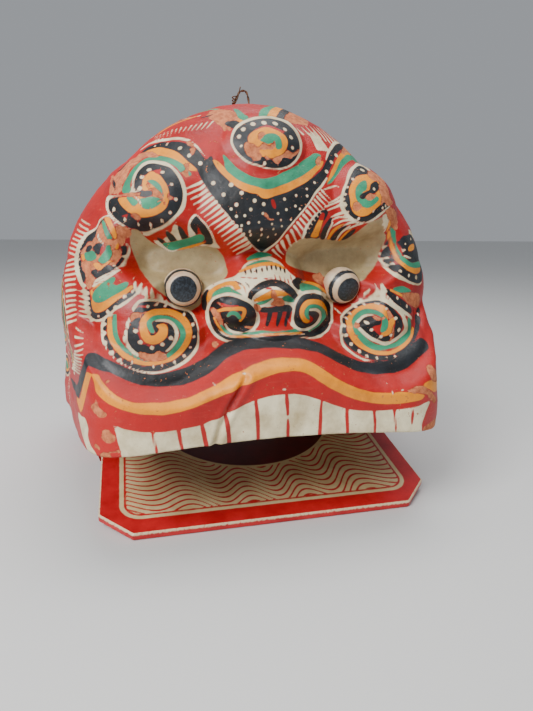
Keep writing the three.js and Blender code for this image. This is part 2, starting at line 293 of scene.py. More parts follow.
def shell_grid(front, side, rows, inside):
    bearing = bearing_columns(front, side)
    at_lip = smooth_point(bearing, np.full(bearing.shape, LIP_LEVEL))
    bottom = level_of(rim_height(bearing, at_lip[:, 0]))
    share = np.linspace(0, 1, rows) if inside else row_shares(rows)
    # Above the back arch every column shares the same rows, so no seam shows where the edge jumps
    common = LIP_LEVEL + (TOP_LEVEL - LIP_LEVEL) * share
    first = int(np.argmax(common > level_of(ARCH_TOP)))
    levels = np.repeat(common[None, :], len(bearing), 0)
    risen = share[None, :first] / share[first]
    levels[:, :first] = bottom[:, None] + (common[first] - bottom[:, None]) * risen
    bearings = np.repeat(bearing[:, None], rows, 1)
    point, moved = head_point(bearings, levels, inside)
    return bearings, levels, point, moved


def arc_coordinates(bearings, levels):
    """Lengths over the smooth form: across from the middle of the face, and up from the widest line."""
    order = np.linspace(0, math.pi, 721)
    up = np.linspace(-1.0, 1.0, 401)
    table = smooth_point(*np.broadcast_arrays(order[:, None], np.clip(up, -1, 0.99)[None, :]))
    table[..., 0] -= table[:1, :, 0]
    across = np.zeros(table.shape[:2])
    across[1:] = np.cumsum(np.linalg.norm(np.diff(table[..., :2], axis=0), axis=-1), 0)
    height = np.zeros(table.shape[:2])
    height[:, 1:] = np.cumsum(np.linalg.norm(np.diff(table, axis=1), axis=-1), 1)
    height -= height[:, 200:201]
    i = np.abs(bearings) / math.pi * 720
    j = (levels + 1) / 2 * 400
    i0 = np.clip(np.floor(i).astype(int), 0, 719)
    j0 = np.clip(np.floor(j).astype(int), 0, 399)
    ti, tj = i - i0, j - j0

    def read(values):
        low = mix(values[i0, j0], values[i0 + 1, j0], ti)
        high = mix(values[i0, j0 + 1], values[i0 + 1, j0 + 1], ti)
        return mix(low, high, tj)

    return np.sign(bearings) * read(across), read(height)


# Painted pattern

class Paint:
    """Coats of paint laid one over another, each kept as a distance in mm, positive inside it."""

    def __init__(self, s, t, coats):
        self.s = s
        self.t = t
        self.coats = {name: np.full(s.shape, -50.0) for name in coats}

    def lay(self, name, inside):
        inside = np.clip(inside, -50, 50)
        for other, value in self.coats.items():
            if other == name:
                self.coats[other] = np.maximum(value, inside)
            else:
                self.coats[other] = np.minimum(value, -inside)

    def bare(self, inside):
        """Takes every coat off inside a region, down to the ground colour."""
        for other, value in self.coats.items():
            self.coats[other] = np.minimum(value, -inside)


def polygon_distance(s, t, points):
    """Distance to a closed outline, positive inside."""
    inside = np.zeros(s.shape, bool)
    nearest = np.full(s.shape, 1e9)
    for (x0, y0), (x1, y1) in zip(points, points[1:] + points[:1]):
        dx, dy = x1 - x0, y1 - y0
        share = np.clip(((s - x0) * dx + (t - y0) * dy) / (dx * dx + dy * dy), 0, 1)
        nearest = np.minimum(nearest, np.hypot(s - x0 - share * dx, t - y0 - share * dy))
        crosses = (y0 > t) != (y1 > t)
        if dy:
            inside ^= crosses & (s < x0 + (t - y0) / dy * dx)
    return np.where(inside, nearest, -nearest)


def rounded(points, steps=6, closed=True):
    """Smooth outline through a few points."""
    count = len(points)
    spans = count if closed else count - 1
    line = []
    for i in range(spans):
        if closed:
            a, b, c, d = (points[(i + k - 1) % count] for k in range(4))
        else:
            a, b, c, d = (points[min(max(i + k - 1, 0), count - 1)] for k in range(4))
        for step in range(steps):
            u = step / steps
            line.append(tuple(
                0.5 * (2 * b[k] + (c[k] - a[k]) * u + (2 * a[k] - 5 * b[k] + 4 * c[k] - d[k]) * u * u
                       + (3 * b[k] - a[k] - 3 * c[k] + d[k]) * u ** 3) for k in range(len(b))))
    if not closed:
        line.append(points[-1])
    return line


def mirrored(points, side):
    return [(side * s, t) for s, t in points]


def pairs(numbers):
    return list(zip(numbers[::2], numbers[1::2]))


def near_shape(paint, points, reach):
    """The mesh points close enough to a shape to be touched by it."""
    across = [point[0] for point in points]
    up = [point[1] for point in points]
    return np.nonzero((paint.s > min(across) - reach) & (paint.s < max(across) + reach)
                      & (paint.t > min(up) - reach) & (paint.t < max(up) + reach))


def lay_near(paint, coat, near, inside):
    """Lays a coat, or wipes down to the ground when the coat is bare."""
    for other, value in paint.coats.items():
        if other == coat:
            value[near] = np.maximum(value[near], inside)
        else:
            value[near] = np.minimum(value[near], -inside)


# Black soaks a little past its outline, and a dab dries a little smaller than it looks in the photo
BLACK_SPREAD = 0.5
DAB_SHARE = 0.8


def lay_area(paint, coat, outline):
    line = rounded(outline, 3)
    near = near_shape(paint, line, 9 if coat == "loss" else 3)
    inside = polygon_distance(paint.s[near], paint.t[near], line)
    if coat == "loss":
        inside = inside + paint.ragged[near]
    elif coat == "black":
        inside = inside + BLACK_SPREAD
    lay_near(paint, coat, near, inside)


def lay_ribbon(paint, coat, knots):
    """Brush line through points, each with its own width."""
    line = rounded(knots, 3, False)
    near = near_shape(paint, line, 9)
    s, t = paint.s[near], paint.t[near]
    inside = np.full(s.shape, -1e9)
    for (x0, y0, w0), (x1, y1, w1) in zip(line, line[1:]):
        dx, dy = x1 - x0, y1 - y0
        share = np.clip(((s - x0) * dx + (t - y0) * dy) / (dx * dx + dy * dy + 1e-9), 0, 1)
        gap = np.hypot(s - x0 - share * dx, t - y0 - share * dy)
        inside = np.maximum(inside, (w0 + (w1 - w0) * share) / 2 - gap)
    if coat == "loss":
        inside = inside + paint.ragged[near]
    lay_near(paint, coat, near, inside)


def lay_dots(paint, coat, places):
    """Round dabs: place and radius of each."""
    for s, t, dab in places:
        radius = DAB_SHARE * dab
        near = near_shape(paint, [(s, t)], radius + 3)
        lay_near(paint, coat, near, radius - np.hypot(paint.s[near] - s, paint.t[near] - t))


def place_on(line, share):
    lengths = [math.dist(a, b) for a, b in zip(line, line[1:])]
    left = share * sum(lengths)
    for start, end, length in zip(line, line[1:], lengths):
        if left <= length:
            return [mix(start[k], end[k], left / length) for k in range(2)]
        left -= length
    return list(line[-1])


def lay_strokes(paint, coat, starts, brush, ends):
    """Row of short strokes from one line to another: count, width at the start and at the end."""
    count, begin_width, end_width = brush
    for i in range(count):
        share = i / (count - 1)
        start, end = place_on(starts, share), place_on(ends, share)
        slip = 0.3 * math.sin(5.3 * i)
        start[1] += slip
        lay_ribbon(paint, coat, [start + [begin_width], end + [end_width]])


# The painted pattern, read from the photo: outlines, brush lines and dabs, the later ones over
# the earlier. An area lists pixels across and down. Where it runs past an edge that the photo shows,
# the points there also have a shift up in mm, below zero for down. A brush line or dab also has its
# width or radius in pixels. A row of strokes has a starting line, then its count and two widths in mm,
# and an ending line.
PATTERN = {
  "crown curls": [
    ("ribbon", "cream", [150,137,1.5, 165,127,2, 180,119.5,2, 200,115,1.5]),
    ("ribbon", "orange", [158,134.5,2, 176,124,2.5, 196,115.5,2]),
    ("ribbon", "green", [156,134,1.5, 168,126,2.5, 180,118.5,3, 192,113.5,3.5, 204,110.5,3.5,
      220,109.5,2.5]),
    ("area", "loss", [206,114, 214,110, 224,109.5, 234,111.5, 241,115, 238,120, 230,121.5, 233,128,
      228,131, 222,127, 214,121, 207,117]),
    ("area", "green", [233,108.5, 238,109, 244,114, 251,121, 247,123.5, 240,119, 236,113]),
    ("area", "orange", [236,119.5, 241,119, 246,124.5, 243,127.5, 239,123]),
    ("area", "black", [225,122.5, 231,120.5, 237,121, 242,127, 236,129, 229,126]),
    ("ribbon", "black", [199,118,1, 206,116,2, 213,113.5,1]),
    ("area", "green", [259,117, 260,111, 266,107, 274,105, 281,104, 287,105.5, 279,108, 272,110, 268,114,
      266,117]),
    ("area", "orange", [267,117, 270,111, 278,107.5, 287,105.5, 291,107.5, 285,110, 279,113, 275,118]),
    ("area", "black", [276,118, 279,113, 285,109.5, 292,108.5, 299,112, 294,114.5, 290,113, 286,117,
      284,121]),
    ("area", "loss", [284,119, 288,113.5, 294,112.5, 299,116, 307,121, 306,125, 296,123.5, 288,121.5]),
  ],
  "medallion": [
    ("area", "cream", [230.5,140, 233,130, 239,123, 249,118, 262,116, 275,116.5, 288,120.5, 296,128.5,
      301,138, 302,149, 299,158.5, 291,166, 280,170.5, 268,169.5, 256,166, 245,161.5, 237,154.5, 232,147]),
    ("area", "black", [233,140, 235.5,132, 241,125.5, 250,121, 262,118.8, 274,119, 285.5,122.8,
      293.5,130, 298,139, 299.3,149, 296.5,157, 290,163.5, 280,168, 268,167, 257,163.5, 247,159.5,
      239.5,153, 235,146.5]),
    ("area", "bare", [253,131, 260,127, 270,126, 280,129.5, 286,134, 280,132.5, 270,129.5, 260,129.5]),
    ("area", "orange", [247.5,139, 250,133.5, 256,129.8, 264,127.5, 272,128.5, 280,132, 286,137, 288,143,
      286,150, 281,155.5, 273,158.8, 264,157.5, 256,153.5, 250,147]),
    ("area", "green", [260,140, 265,135, 270,133.5, 276,134.5, 280.5,139, 282,148, 277,149.5, 273,143.5,
      268,144.5, 264,142.5]),
    ("dots", "cream", [253,124,2.8, 264,123,2.7, 275.5,123.5,2.6, 243.5,129,2.7, 239,136.5,2.7,
      285,129.5,2.2, 291,137.5,2.2, 292.5,148,2, 264.5,163.5,2.2, 241,146,1.6]),
    ("area", "loss", [243,146, 247,142, 253,142.5, 258,147, 263,142.5, 269,146, 274,141, 275,146,
      271,150, 263,149, 258,152, 263,156, 258,161, 252,161, 249,156, 245,153]),
    ("area", "loss", [257,134, 262,132, 265,134, 262,138, 258,139]),
    ("area", "loss", [264,156, 271,158.5, 280,156, 286,151, 293,153, 299,150, 296,155, 290,159, 282,158,
      279,163.5, 272,161, 266,159.5]),
  ],
  "forehead V and brow bands": [
    ("ribbon", "cream", [140,150,1, 150,143.5,2, 158,141,2.5, 170,139,2.8, 181,139,2.6, 190,141.5,2.6,
      196,146,2.4, 201,151.5,1.6, 205,156,0.8]),
    ("ribbon", "cream", [326,160,1.5, 328.5,153,3, 332,147,3.4, 336,143,3.2, 341,140.5,2.5, 347,142,1]),
    ("ribbon", "cream", [199,171.5,2, 205,183,2, 213.5,197,2, 220,205.5,2.2, 228,215,2.2, 236,225,2,
      244,235,2, 252,244,2, 258,250,2, 262,253,2, 271,247,1.8, 278,241,1.5, 286,231,1.4, 295,220,1.4,
      303,211,1.4, 310,201,1.5, 317,191,2.2, 323,184,2.6, 327,178,1.6]),
    ("area", "black", [262,251, 270,246, 277,240, 285,230, 294,219, 302,210, 309,200, 316,190, 321,184,
      325.5,177, 329,170, 332,162, 336,154.5, 341,149.5, 347,148, 351,149.5, 347,144.5, 342,142.8,
      337,144.5, 333,148.5, 329,155, 326,163, 322,170, 316,176, 308,181, 297,187, 285,193, 275,196,
      268,198.5, 262,198, 257,194, 250,193, 240,189, 228,180, 219,171, 214.5,164, 213,160, 211,156.5,
      207,160, 203,157, 199,152, 194,147.5, 187,144.5, 180,142.5, 172,142, 163,142.5, 155,144.5,
      146,148.5, 138,155, 145,152, 152,149, 160,147.5, 168,148.5, 175,150.5, 182,155.5, 188,161, 193,166,
      198,171, 204,182, 213,196, 220,205, 228,214, 236,224, 244,234, 252,243, 258,249]),
    ("area", "orange", [212.5,160.5, 219,162.5, 226,169, 234,176.5, 242,181.5, 250,184.5, 258,186.5,
      265,188.5, 272,188, 280,185.5, 290,181.5, 300,176.5, 310,170.5, 318,164, 323,161, 322,166, 317,172,
      308,181, 297,187, 285,193, 275,196, 268,198.5, 262,198, 257,194, 250,193, 240,189, 228,180, 219,171]),
    ("area", "green", [223,154.5, 229,159.5, 236,167, 244,172.5, 252,176.5, 260,178.5, 268,178.3,
      276,176, 285,171.5, 295,166.5, 303,160.5, 309,156.5, 315,153.5, 321,156, 318,163, 310,171, 300,177,
      290,182, 280,186, 272,188.5, 265,189, 258,187, 250,185, 242,182, 234,177, 226,170, 224,162]),
    ("area", "loss", [316,158, 319,156, 321,161, 319,166, 316,166, 315,162]),
    ("area", "loss", [186,142, 190,141, 194,144, 193,147, 188,145.5]),
    ("area", "loss", [191,149, 194,147.5, 195.5,151, 193,155, 190.5,153]),
    ("area", "bare", [271,200, 274,200, 276,206, 275,209, 272,206]),
    ("ribbon", "loss", [265,215,1.5, 268,219,2.5, 273,219.5,1.5]),
    ("dots", "cream", [155,146,1.4, 167,144.3,1.7, 180,148.3,2.4, 189.5,155.3,2.4, 200.5,163.5,2.8,
      213.5,183,2.6, 231,184.8,3, 223.5,194.8,2.6, 241.5,193.3,2.6, 254.8,200.6,2.4, 236.5,205,2.5,
      231,209.2,2, 263.8,204.2,2.2, 251,209.3,2, 263,213.5,1.8, 236.5,216.3,1.9, 245,215.5,1.7,
      248.5,223,2, 241.5,225.5,1.7, 259,222.3,1.5, 261.5,229.2,1.7, 250,231.5,1.6, 251,235,1.6,
      261.5,234.5,1.5, 258.5,240,1.2, 268,237,1.3, 272,224,1.4, 273.5,229,1.3, 275.5,234.5,1.2,
      281,220,1.4, 282,226,1.3, 278,213.5,1.6, 286.3,209.5,1.6, 290.7,219.3,1.4, 284.5,199.2,1.9,
      296.3,195.3,1.7, 307,189,1.6, 307,196,1.6, 295.5,206,1.7, 300,209,1.5, 315,182,1.7, 336,156,2,
      331,162,2, 326.5,171.5,2.2]),
    ("area", "orange", [350,150, 345,150, 341,153, 337,158.5, 334,165, 331,171.5, 328.5,178, 327,182.5,
      330,180, 334,174, 337,168, 340,162, 343,158, 348,155, 353,152.5]),
    ("area", "green", [353,152.5, 347,155, 343,158, 340,162, 337,168, 334,174, 330,180, 327,184, 331,183,
      336,177, 339.5,172, 343,167, 347,162.5, 353,160.5, 360,162, 367,166, 362,160, 357,155.5]),
    ("area", "orange", [136,158, 142,154, 148,150.5, 155,148.3, 162,147.8, 169,149, 176,151.5, 182,155.5,
      188,161, 193,166, 198,171, 193,171.5, 187,169.5, 183,164.5, 176,160.5, 168,157.5, 160,155.5,
      152,155, 145,157, 140,160]),
    ("area", "green", [192,175, 188,170, 183,164.5, 176,160.5, 168,157.5, 160,155.8, 152,156, 145,159,
      138,163.5, 132,169, 127,177, 123,185, 122,192, 129,194, 131,190, 130,184, 132,178, 137,170.5,
      143,164, 150,161, 160,160.5, 168,163, 176,167.5, 182,174, 188,177]),
    ("area", "loss", [110,187, 113,178, 119,170, 127,162.5, 136,156, 144,152, 150,152, 155,153, 158,156,
      152,157.5, 146,157, 139,162, 131,169, 126,177, 122,186, 121,192, 116,193, 111,191]),
    ("area", "loss", [184,166, 187,163, 189,168, 188,174, 191,177, 186,178, 183,174, 186,170]),
  ],
  "left brow spiral": [
    ("area", "cream", [108,196, 106,204, 108,213, 115,220.5, 123,227, 133,232, 143,235, 146,235.5,
      155,232.5, 164,228, 172,222, 179,215, 185,206.5, 186.5,196, 185.5,186, 182.5,178, 176,169.5,
      168.5,163.5, 160,160.8, 150,160.5, 142,163.5, 136,170.5, 132,178.5, 131,189, 128,193, 118,195]),
    ("area", "black", [110,200, 109,207, 112,213.5, 118,219.5, 126,225.5, 134,229, 142,230.5, 150,229.5,
      160,226, 168,220.5, 176,212.5, 181,203, 182.3,193, 180.5,184, 176.5,176, 170,168.3, 162,165.2,
      155,163.5, 148,164, 141.5,168, 137,174, 134.5,181, 134.5,188, 137,191, 141,191, 130,196, 118,197]),
    ("area", "orange", [118,198, 120,204, 126,210.5, 133,214.5, 140,217, 148,217.3, 155,215.8, 161,212.5,
      166,207.5, 168.3,201, 168.7,193, 167.2,186, 164,180, 160,175, 155,172, 150.5,171, 147,174, 143,179,
      142,185, 143,191, 146,194, 136,196, 126,196.5]),
    ("area", "green", [126,197, 130,196, 137,200.5, 141,205, 144,208.5, 150,209, 156,206.5, 161,202.5,
      163.3,197, 162.3,190, 160,185, 156,181, 151,179.5, 147.5,181, 152,184.5, 156,188.5, 158.5,193,
      158,198, 152,196.5, 146,197.5, 140,199, 137,204.5, 133,206.5, 129,202]),
    ("area", "orange", [145,182, 148,186, 148,190, 144,190, 142.5,186]),
    ("ribbon", "cream", [134,195,1.5, 138,199.5,2, 141,204,2, 141,208,1]),
    ("area", "black", [138,193.5, 144,191.5, 151,191.5, 151,195, 146,196.5, 141,196]),
    ("area", "loss", [146,183, 149,183, 151,187, 155,187, 158,191, 162,196, 163,200, 158,198, 153,196,
      152,192, 148,189]),
    ("ribbon", "loss", [114,197,1.5, 122,195,2.5, 131,194.5,2, 140,193,1.5]),
    ("ribbon", "loss", [167,193,1, 169,197,2.5, 173,198.5,1]),
    ("ribbon", "loss", [157,202,1, 162,200,2, 165,206,1.5]),
    ("ribbon", "bare", [155,170,2, 158,172,3.5, 160,169,2]),
    ("area", "loss", [131,214, 136,213, 140,216, 139,220, 135,219]),
    ("ribbon", "bare", [122,216,1, 127,215,2, 126,217,1]),
    ("ribbon", "loss", [112,176,2, 112,184,3, 110,192,3]),
    ("dots", "cream", [114,209.5,2.3, 125,219.3,2.5, 138.5,224,2, 150.5,225.5,2.6, 162,221,2.3,
      170,212.5,2.4, 175.5,199.5,2.4, 171.5,184.5,2.2, 162.5,172,2.3, 149,169.5,2.4, 142,177,2.6,
      139.5,188,2.9]),
    ("ribbon", "black", [112.5,178,1.2, 114,184,3, 114.5,190,1.5]),
    ("ribbon", "black", [117,172,1, 123,167,2, 131,159.5,1]),
  ],
  "right brow spiral": [
    ("area", "cream", [370,170, 364,164.5, 357,163, 351.5,167, 347.5,174, 345,183, 342,192, 340.5,200,
      341,208, 345,215, 351.5,221, 360,223.5, 367,223, 374,220, 380,216, 387,210, 390,203]),
    ("area", "black", [369,172, 366,168.5, 360,166, 355,169, 350.5,177, 347,187, 344,197, 344.5,206,
      349.5,214, 356.5,219.5, 364,221.5, 372,218.5, 380,212.5, 388,206.5, 390,203, 384,202, 378,207,
      372,212]),
    ("area", "orange", [368,174, 360,175, 355,178.5, 351,184, 349.5,191, 350,199, 351,207, 354,213.5,
      361,216.5, 368,215, 374,210, 380,205, 384,200, 386,194, 384,186, 380,178, 374,173]),
    ("area", "green", [366,180, 360,182.5, 356,188, 355.5,196, 358,202, 363,207, 369,207.5, 375,204,
      379,199, 376,196, 370,199, 365,198, 362,193, 366,190, 367,185]),
    ("area", "black", [371,185, 376,181.5, 379,185, 378,190, 374,193, 368,194, 363,199, 360,196, 366,192,
      370,190]),
    ("area", "loss", [368,171, 373,172, 380,176, 386,185, 390,196, 393,203, 389,206, 384,202, 381,205,
      381,196, 379,189, 379,182, 373,180, 369,176]),
    ("area", "loss", [354,203, 358,203, 361,207, 358,211, 354,209]),
    ("area", "loss", [352,146, 344,145, 341,150, 343,154, 348,152, 353,156]),
    ("area", "loss", [366,196, 371,194, 377,195, 373,198, 368,200]),
    ("dots", "cream", [362.5,170,1.8, 353,179,1.9, 348,187,1.6, 346,194,1.8, 345.5,205,1.9, 348,212,1.5,
      359,218.5,1.8, 383,207.5,1.6, 386,205.5,1.4, 379,215.5,1.6, 374,189,1.8]),
  ],
  "right brow strokes": [
    ("ribbon", "cream", [322,190,1, 334,186,1.8, 340,187,0.6]),
    ("ribbon", "cream", [329,203,1, 337,199,1.8, 343,195,2.4]),
    ("ribbon", "cream", [325,207,1, 335,203,1.8, 344,199,2.4]),
    ("ribbon", "cream", [326,211,1, 336,207,1.8, 345,203,2.4]),
    ("ribbon", "cream", [331,217,1, 338,214,2.4, 345,212,3]),
    ("ribbon", "cream", [330,221,1, 339,217,1.6, 348,217,2]),
    ("ribbon", "cream", [333,226,1, 342,221,1.8, 350,220,2]),
    ("ribbon", "cream", [339,229,1, 348,224,1.8, 356,222,2]),
    ("ribbon", "cream", [348,229,1, 355,225.5,1.8, 364,222.5,2]),
  ],
  "sockets": [
    # The socket coat is cream paint darkened as painted shade
    ("area", "socket", [131,230, 136,229, 140,231, 144,236, 150,241, 158,245, 166,246, 176,244, 190,243,
      206,245, 214,247, 220,252, 224,258, 226,266, 228,272, 226,277, 221,281, 214,285, 209,290, 205,297,
      199,306, 190,311, 180,310, 172,302, 160,292, 152,285, 145,276, 138,265, 134,255, 130,243]),
    ("area", "socket", [286,262, 286,254, 290,246, 298,240, 306,237.5, 316,237, 328,239, 338,240,
      348,238, 356,233, 362,228, 370,222, 378,219, 383,217, 386,226, 387,236, 384,242, 381,248, 380,256,
      377,262, 372,270, 366,277, 361,281, 352,286, 340,296, 334,292, 330,283, 322,276, 315,273, 305,271,
      295,268]),
    ("ribbon", "cream", [131,231,1, 128,240,2, 129,249,2.5, 127,258,3.5, 124,266,3]),
    ("area", "loss", [312,275, 320,274, 324,279, 322,285, 315,282]),
  ],
  "left flame": [
    ("ribbon", "cream", [143,233,2.4, 152,231.5,2.2, 162,228.5,2, 170,223,1.6]),
    ("area", "cream", [195,214, 199,216, 204,221, 209,227.5, 213,235, 216,243, 220,248, 214,247.5,
      206,246, 196,247, 186,249, 176,251, 170,251.5, 163,248, 157,244, 153,240, 160,240, 158,236,
      163,236, 166,230, 171,232, 173,225, 176,222, 180,226, 184,231, 187,236, 190,237, 187,230, 188,223,
      191,217]),
    ("area", "bare", [172,224, 178,222, 186,218, 190,217, 188,224, 188,231, 190,237, 186,235, 182,229,
      177,225]),
    ("area", "bare", [156,236, 164,231, 168,232, 166,237, 162,239]),
    ("area", "black", [196,216.5, 201,221.5, 206,228, 210,235, 212.5,243, 207,244, 201,242, 198,238,
      196,233, 192.5,229, 190.5,224, 193.5,219]),
    ("area", "bare", [197,225, 199.5,229, 204,239, 206,241, 201,239, 198,233]),
    ("area", "black", [178,226, 182,229, 185,233, 189,239, 184,240, 180,235]),
    ("area", "black", [166,231.5, 172,235, 176,240, 178,244, 172,242, 168,237]),
    ("area", "black", [157,238, 163,240, 167,244, 162,243]),
    ("area", "green", [162,243, 168,242, 176,241, 184,239, 192,236, 198,234, 203,235, 204.5,239.5,
      200,243, 190,246, 180,248.5, 172,250.5, 166,247.5]),
    ("area", "orange", [180,248.5, 190,245.5, 200,242.8, 206,242.5, 198,246, 188,248.5, 178,250.3]),
  ],
  "right flame": [
    ("ribbon", "cream", [303,238,2, 305,230,2.4, 310,221.5,2, 316,214.5,1.8, 324,209.5,1.6]),
    ("area", "black", [305.5,237, 308,229, 313,221, 319,213, 325,210, 328,212, 326,217, 323,222, 320,229,
      319,237.5, 312,237]),
    ("area", "orange", [310.5,236.5, 314,229, 318,221, 322,216, 324,218, 322,225, 319.5,232, 318,237]),
    ("area", "bare", [319,219, 322,213, 325,214, 323,220]),
    ("area", "black", [321,238, 323,230, 327,223, 332,217, 331,222, 328,229, 326,238]),
    ("ribbon", "cream", [326,238,1.2, 329,230,1.8, 333,222,1.4]),
    ("ribbon", "orange", [329,238,2, 333,231,2.8, 340,226,2, 345,224,1]),
    ("area", "black", [331,238.5, 336,232, 342,227.5, 347,226, 341,231.5, 336,239]),
    ("ribbon", "cream", [337,239.5,1.4, 341,233,1.8, 349,227,1.4]),
    ("ribbon", "orange", [340,239.5,1.6, 345,234,2, 351,229,1]),
    ("area", "black", [342,239.5, 348,233.5, 355,229, 353,233.5, 348,238]),
  ],
  "left temple": [
    ("area", "cream", [93,229.5, 86,233.5, 79.5,241, 76,250, 74.5,260, 75.5,270, 78,279.5, 82.5,288.5,
      86,286, 92,285, 98,281, 106,276, 113,271, 121,267, 126,262, 128,252, 126,243, 121,238, 118,228,
      112,218, 107,215.5, 100,220, 97,226]),
    ("area", "black", [91,234, 86,238, 81.5,245, 79,252, 78.3,260, 79,268, 81,276, 84,283.5, 90,282,
      97,278, 105,274, 112,270, 119,265.5, 123.5,260, 126,253, 125,245, 119,236, 115,227, 110,218,
      102,220, 97,229]),
    ("area", "loss", [82,250, 87,243, 93,239, 98,230, 101,223, 105,222, 108,232, 112,238, 120,246,
      120,256, 117,263, 110,264, 100,268, 90,271, 95,278, 92,286, 88,293, 85,285, 86,276, 82,268, 81,259]),
    ("area", "black", [95,245, 100,243, 104,246, 102,252, 98,254.5, 95,251]),
    ("area", "green", [84,253, 90,249.5, 95,252, 97,258, 91,261.5, 86,260]),
    ("area", "black", [87,247, 92,246, 91,250, 86,251]),
    ("area", "orange", [81,254.5, 84,254, 84.5,261, 82,260]),
    ("area", "bare", [102,246, 106,248, 104,253, 100,255]),
    ("area", "green", [106,243, 110,246, 112,254, 109,260.5, 103,264, 98,260.5, 101,255.5, 105,250]),
    ("area", "green", [101.5,219.5, 105,222, 108,230, 112,238, 107,239, 104,232]),
    ("area", "orange", [104.5,218, 109,217, 113,224, 117,232, 118.5,238.5, 114,238.5, 109,228]),
    ("area", "orange", [114,240, 118,241.5, 117.5,250, 115,248.5]),
    ("area", "orange", [93,264, 98,262.5, 103,267, 100,270.5, 95,268.5]),
    ("ribbon", "orange", [103,267,1.5, 108,262.5,2.5, 113,260.5,1]),
    ("ribbon", "cream", [98,233,2, 99,239,3, 103,243,2]),
    ("area", "loss", [116,227, 123,226, 130,230, 129,236, 124,240, 121,246, 118,240, 117,233]),
    ("dots", "cream", [121.5,256,1.8, 113,265.5,1.8, 97,272,1.3, 79.8,259,1, 79.8,268,1]),
  ],
  "left leaf": [
    ("area", "cream", [84,288, 85.5,298, 87,308, 89.5,316, 95,321.5, 102,321, 109,315.5, 116,310,
      126,304.5, 133,298, 140,292, 133,288, 120,297, 104,308, 93,310, 89,296]),
    ("area", "black", [86.5,289, 87.5,299, 89,309, 92,316, 96,319, 101,318, 107,314, 114,308, 120,304,
      128,298.5, 136,292.5, 132.5,287.5, 126,292, 116,298, 105,309, 99,312, 94,310, 91,300, 89.5,292]),
    ("area", "orange", [90,291, 93,290.5, 97,296, 103,299, 110,296, 118,293, 126,288.5, 132,285.5,
      134,287.5, 128,293, 120,298.5, 112,304.5, 105,310, 99,312.5, 94,311, 91,302]),
    ("area", "green", [113,276.5, 107,279.5, 101,284, 95,290, 92,296, 94,301.5, 99,303, 106,300.5,
      113,296, 121,291.5, 127.5,287, 128.5,281.5, 122,283, 116,285.5, 113.5,283, 116,279]),
    ("ribbon", "cream", [92,287,2, 99,283,2.8, 107,277.5,2.8, 114,273,2.6, 120,270,1.6]),
    ("ribbon", "orange", [92,289.5,1.2, 98,285.5,2, 103,281.5,1]),
    ("dots", "loss", [108.7,283.7,2]),
    ("dots", "cream", [98.5,316,1.8, 107.5,311.3,2.4, 115,307.3,2.4, 125,296.5,2.4, 132.5,292,1.8]),
  ],
  "left cheek spiral": [
    ("area", "cream", [106,316, 102,321, 100.8,330, 102,341, 105,347.5, 109,353.5, 114,359, 120,363.5,
      128,367.5, 136,371, 144,373, 153,373.8, 163,373, 173,370, 182,365.5, 190,359.5, 196,352.5,
      199,344.5, 199,334, 198.3,326, 195.5,317.5, 191,311.5, 184,308.5, 176,306, 170,303, 163,300.5,
      155,298.8, 147,298.8, 140,299.7, 135.5,303, 131,310.5, 134,313, 130,318, 127,325, 126,332, 123,338,
      126,345, 124,348, 119,340, 117,330, 117,320, 113,313]),
    ("area", "black", [108,318, 104,324, 103.5,334, 105,341.5, 108,347.5, 112,353, 117,358, 123,362,
      131,366, 140,369.3, 150,370.8, 160,370.3, 170,367.3, 179,363, 187,357, 193,350.3, 196.2,343,
      197,335, 196,326, 193,318.5, 188.5,313.2, 181,310.8, 174,308.8, 168,306, 162,303.5, 154,301.8,
      147,301.8, 140,303.2, 137,306, 134,311.5, 131,318, 129,326, 128,334, 130,344, 126,350, 118,340,
      112,330]),
    ("ribbon", "green", [115,315.5,4, 114.3,325,5.5, 115.8,335,5.5, 120,344.5,6, 127,352,6.5,
      134,357.5,5.5, 142,360.7,3, 150,361.5,2]),
    ("ribbon", "orange", [110,318,4, 109.7,326,5.2, 110.5,335,5.5, 114.5,344,5.5, 121.5,352.5,5.5,
      131,359.3,5, 141,362.7,4.2, 152,363.5,4, 162,361.8,4.6, 172,357.5,5.8, 181,350,7, 187.3,340,7.4,
      187.8,328,7.4, 182,318.3,7, 172,312.8,6.2, 161,311.5,6.2, 151,313.5,7.4, 144.5,319.5,8,
      143.3,328,8.4, 145.8,337,9, 151.5,340,8.6, 158,338.5,9.6, 163,333,9.6, 163,327.5,8, 159,326,4]),
    ("ribbon", "green", [161,359.5,3, 168,355.3,4.4, 175,349.5,5.4, 181,342,5.6, 183,333,5.6,
      179.3,325,5.4, 171.5,319.6,5, 162,317.6,4.8, 154,318.2,5, 149.7,321.6,5, 150,326.5,5.6,
      152.7,331.5,4.6]),
    ("area", "black", [129,327, 128.3,334, 128.3,341, 131,347.5, 136,352.5, 143,355.5, 151,356.5,
      160,355, 167,351, 172,345.3, 174.8,338, 174.8,331, 172,325.3, 167,322.5, 164,322.3, 168,326,
      168.5,331, 167.5,336.5, 163,342, 157,345, 150,345, 144,342.5, 140,336, 138.7,328, 140,319,
      143,314.5, 138,311, 133,315]),
    ("ribbon", "cream", [126,331,3, 126,340,3.2, 129,347,3.6, 134,352.5,3.6, 139.5,355.7,3]),
    ("ribbon", "cream", [166,351.5,2, 171,347,2.6, 175.5,341,3.6, 177,334,3.8, 175,327,3.6, 170,322,3,
      163,320.3,2.6, 155.5,320.8,1.6]),
    ("ribbon", "cream", [137.5,302.5,3, 134.5,307,3.6, 132,311,2]),
    ("ribbon", "cream", [131,316,3, 128,322,3.6, 127,328,3]),
    ("ribbon", "bare", [139.5,322,1, 139,331,2, 141.5,339,2, 147,345,1.6, 155,345.2,1]),
    ("area", "bare", [119,309, 128,305, 132,311, 128.5,317, 126.3,323, 125.3,330, 122.8,337, 125,344,
      127,348, 122,343, 118.5,335, 117.5,325, 118,316]),
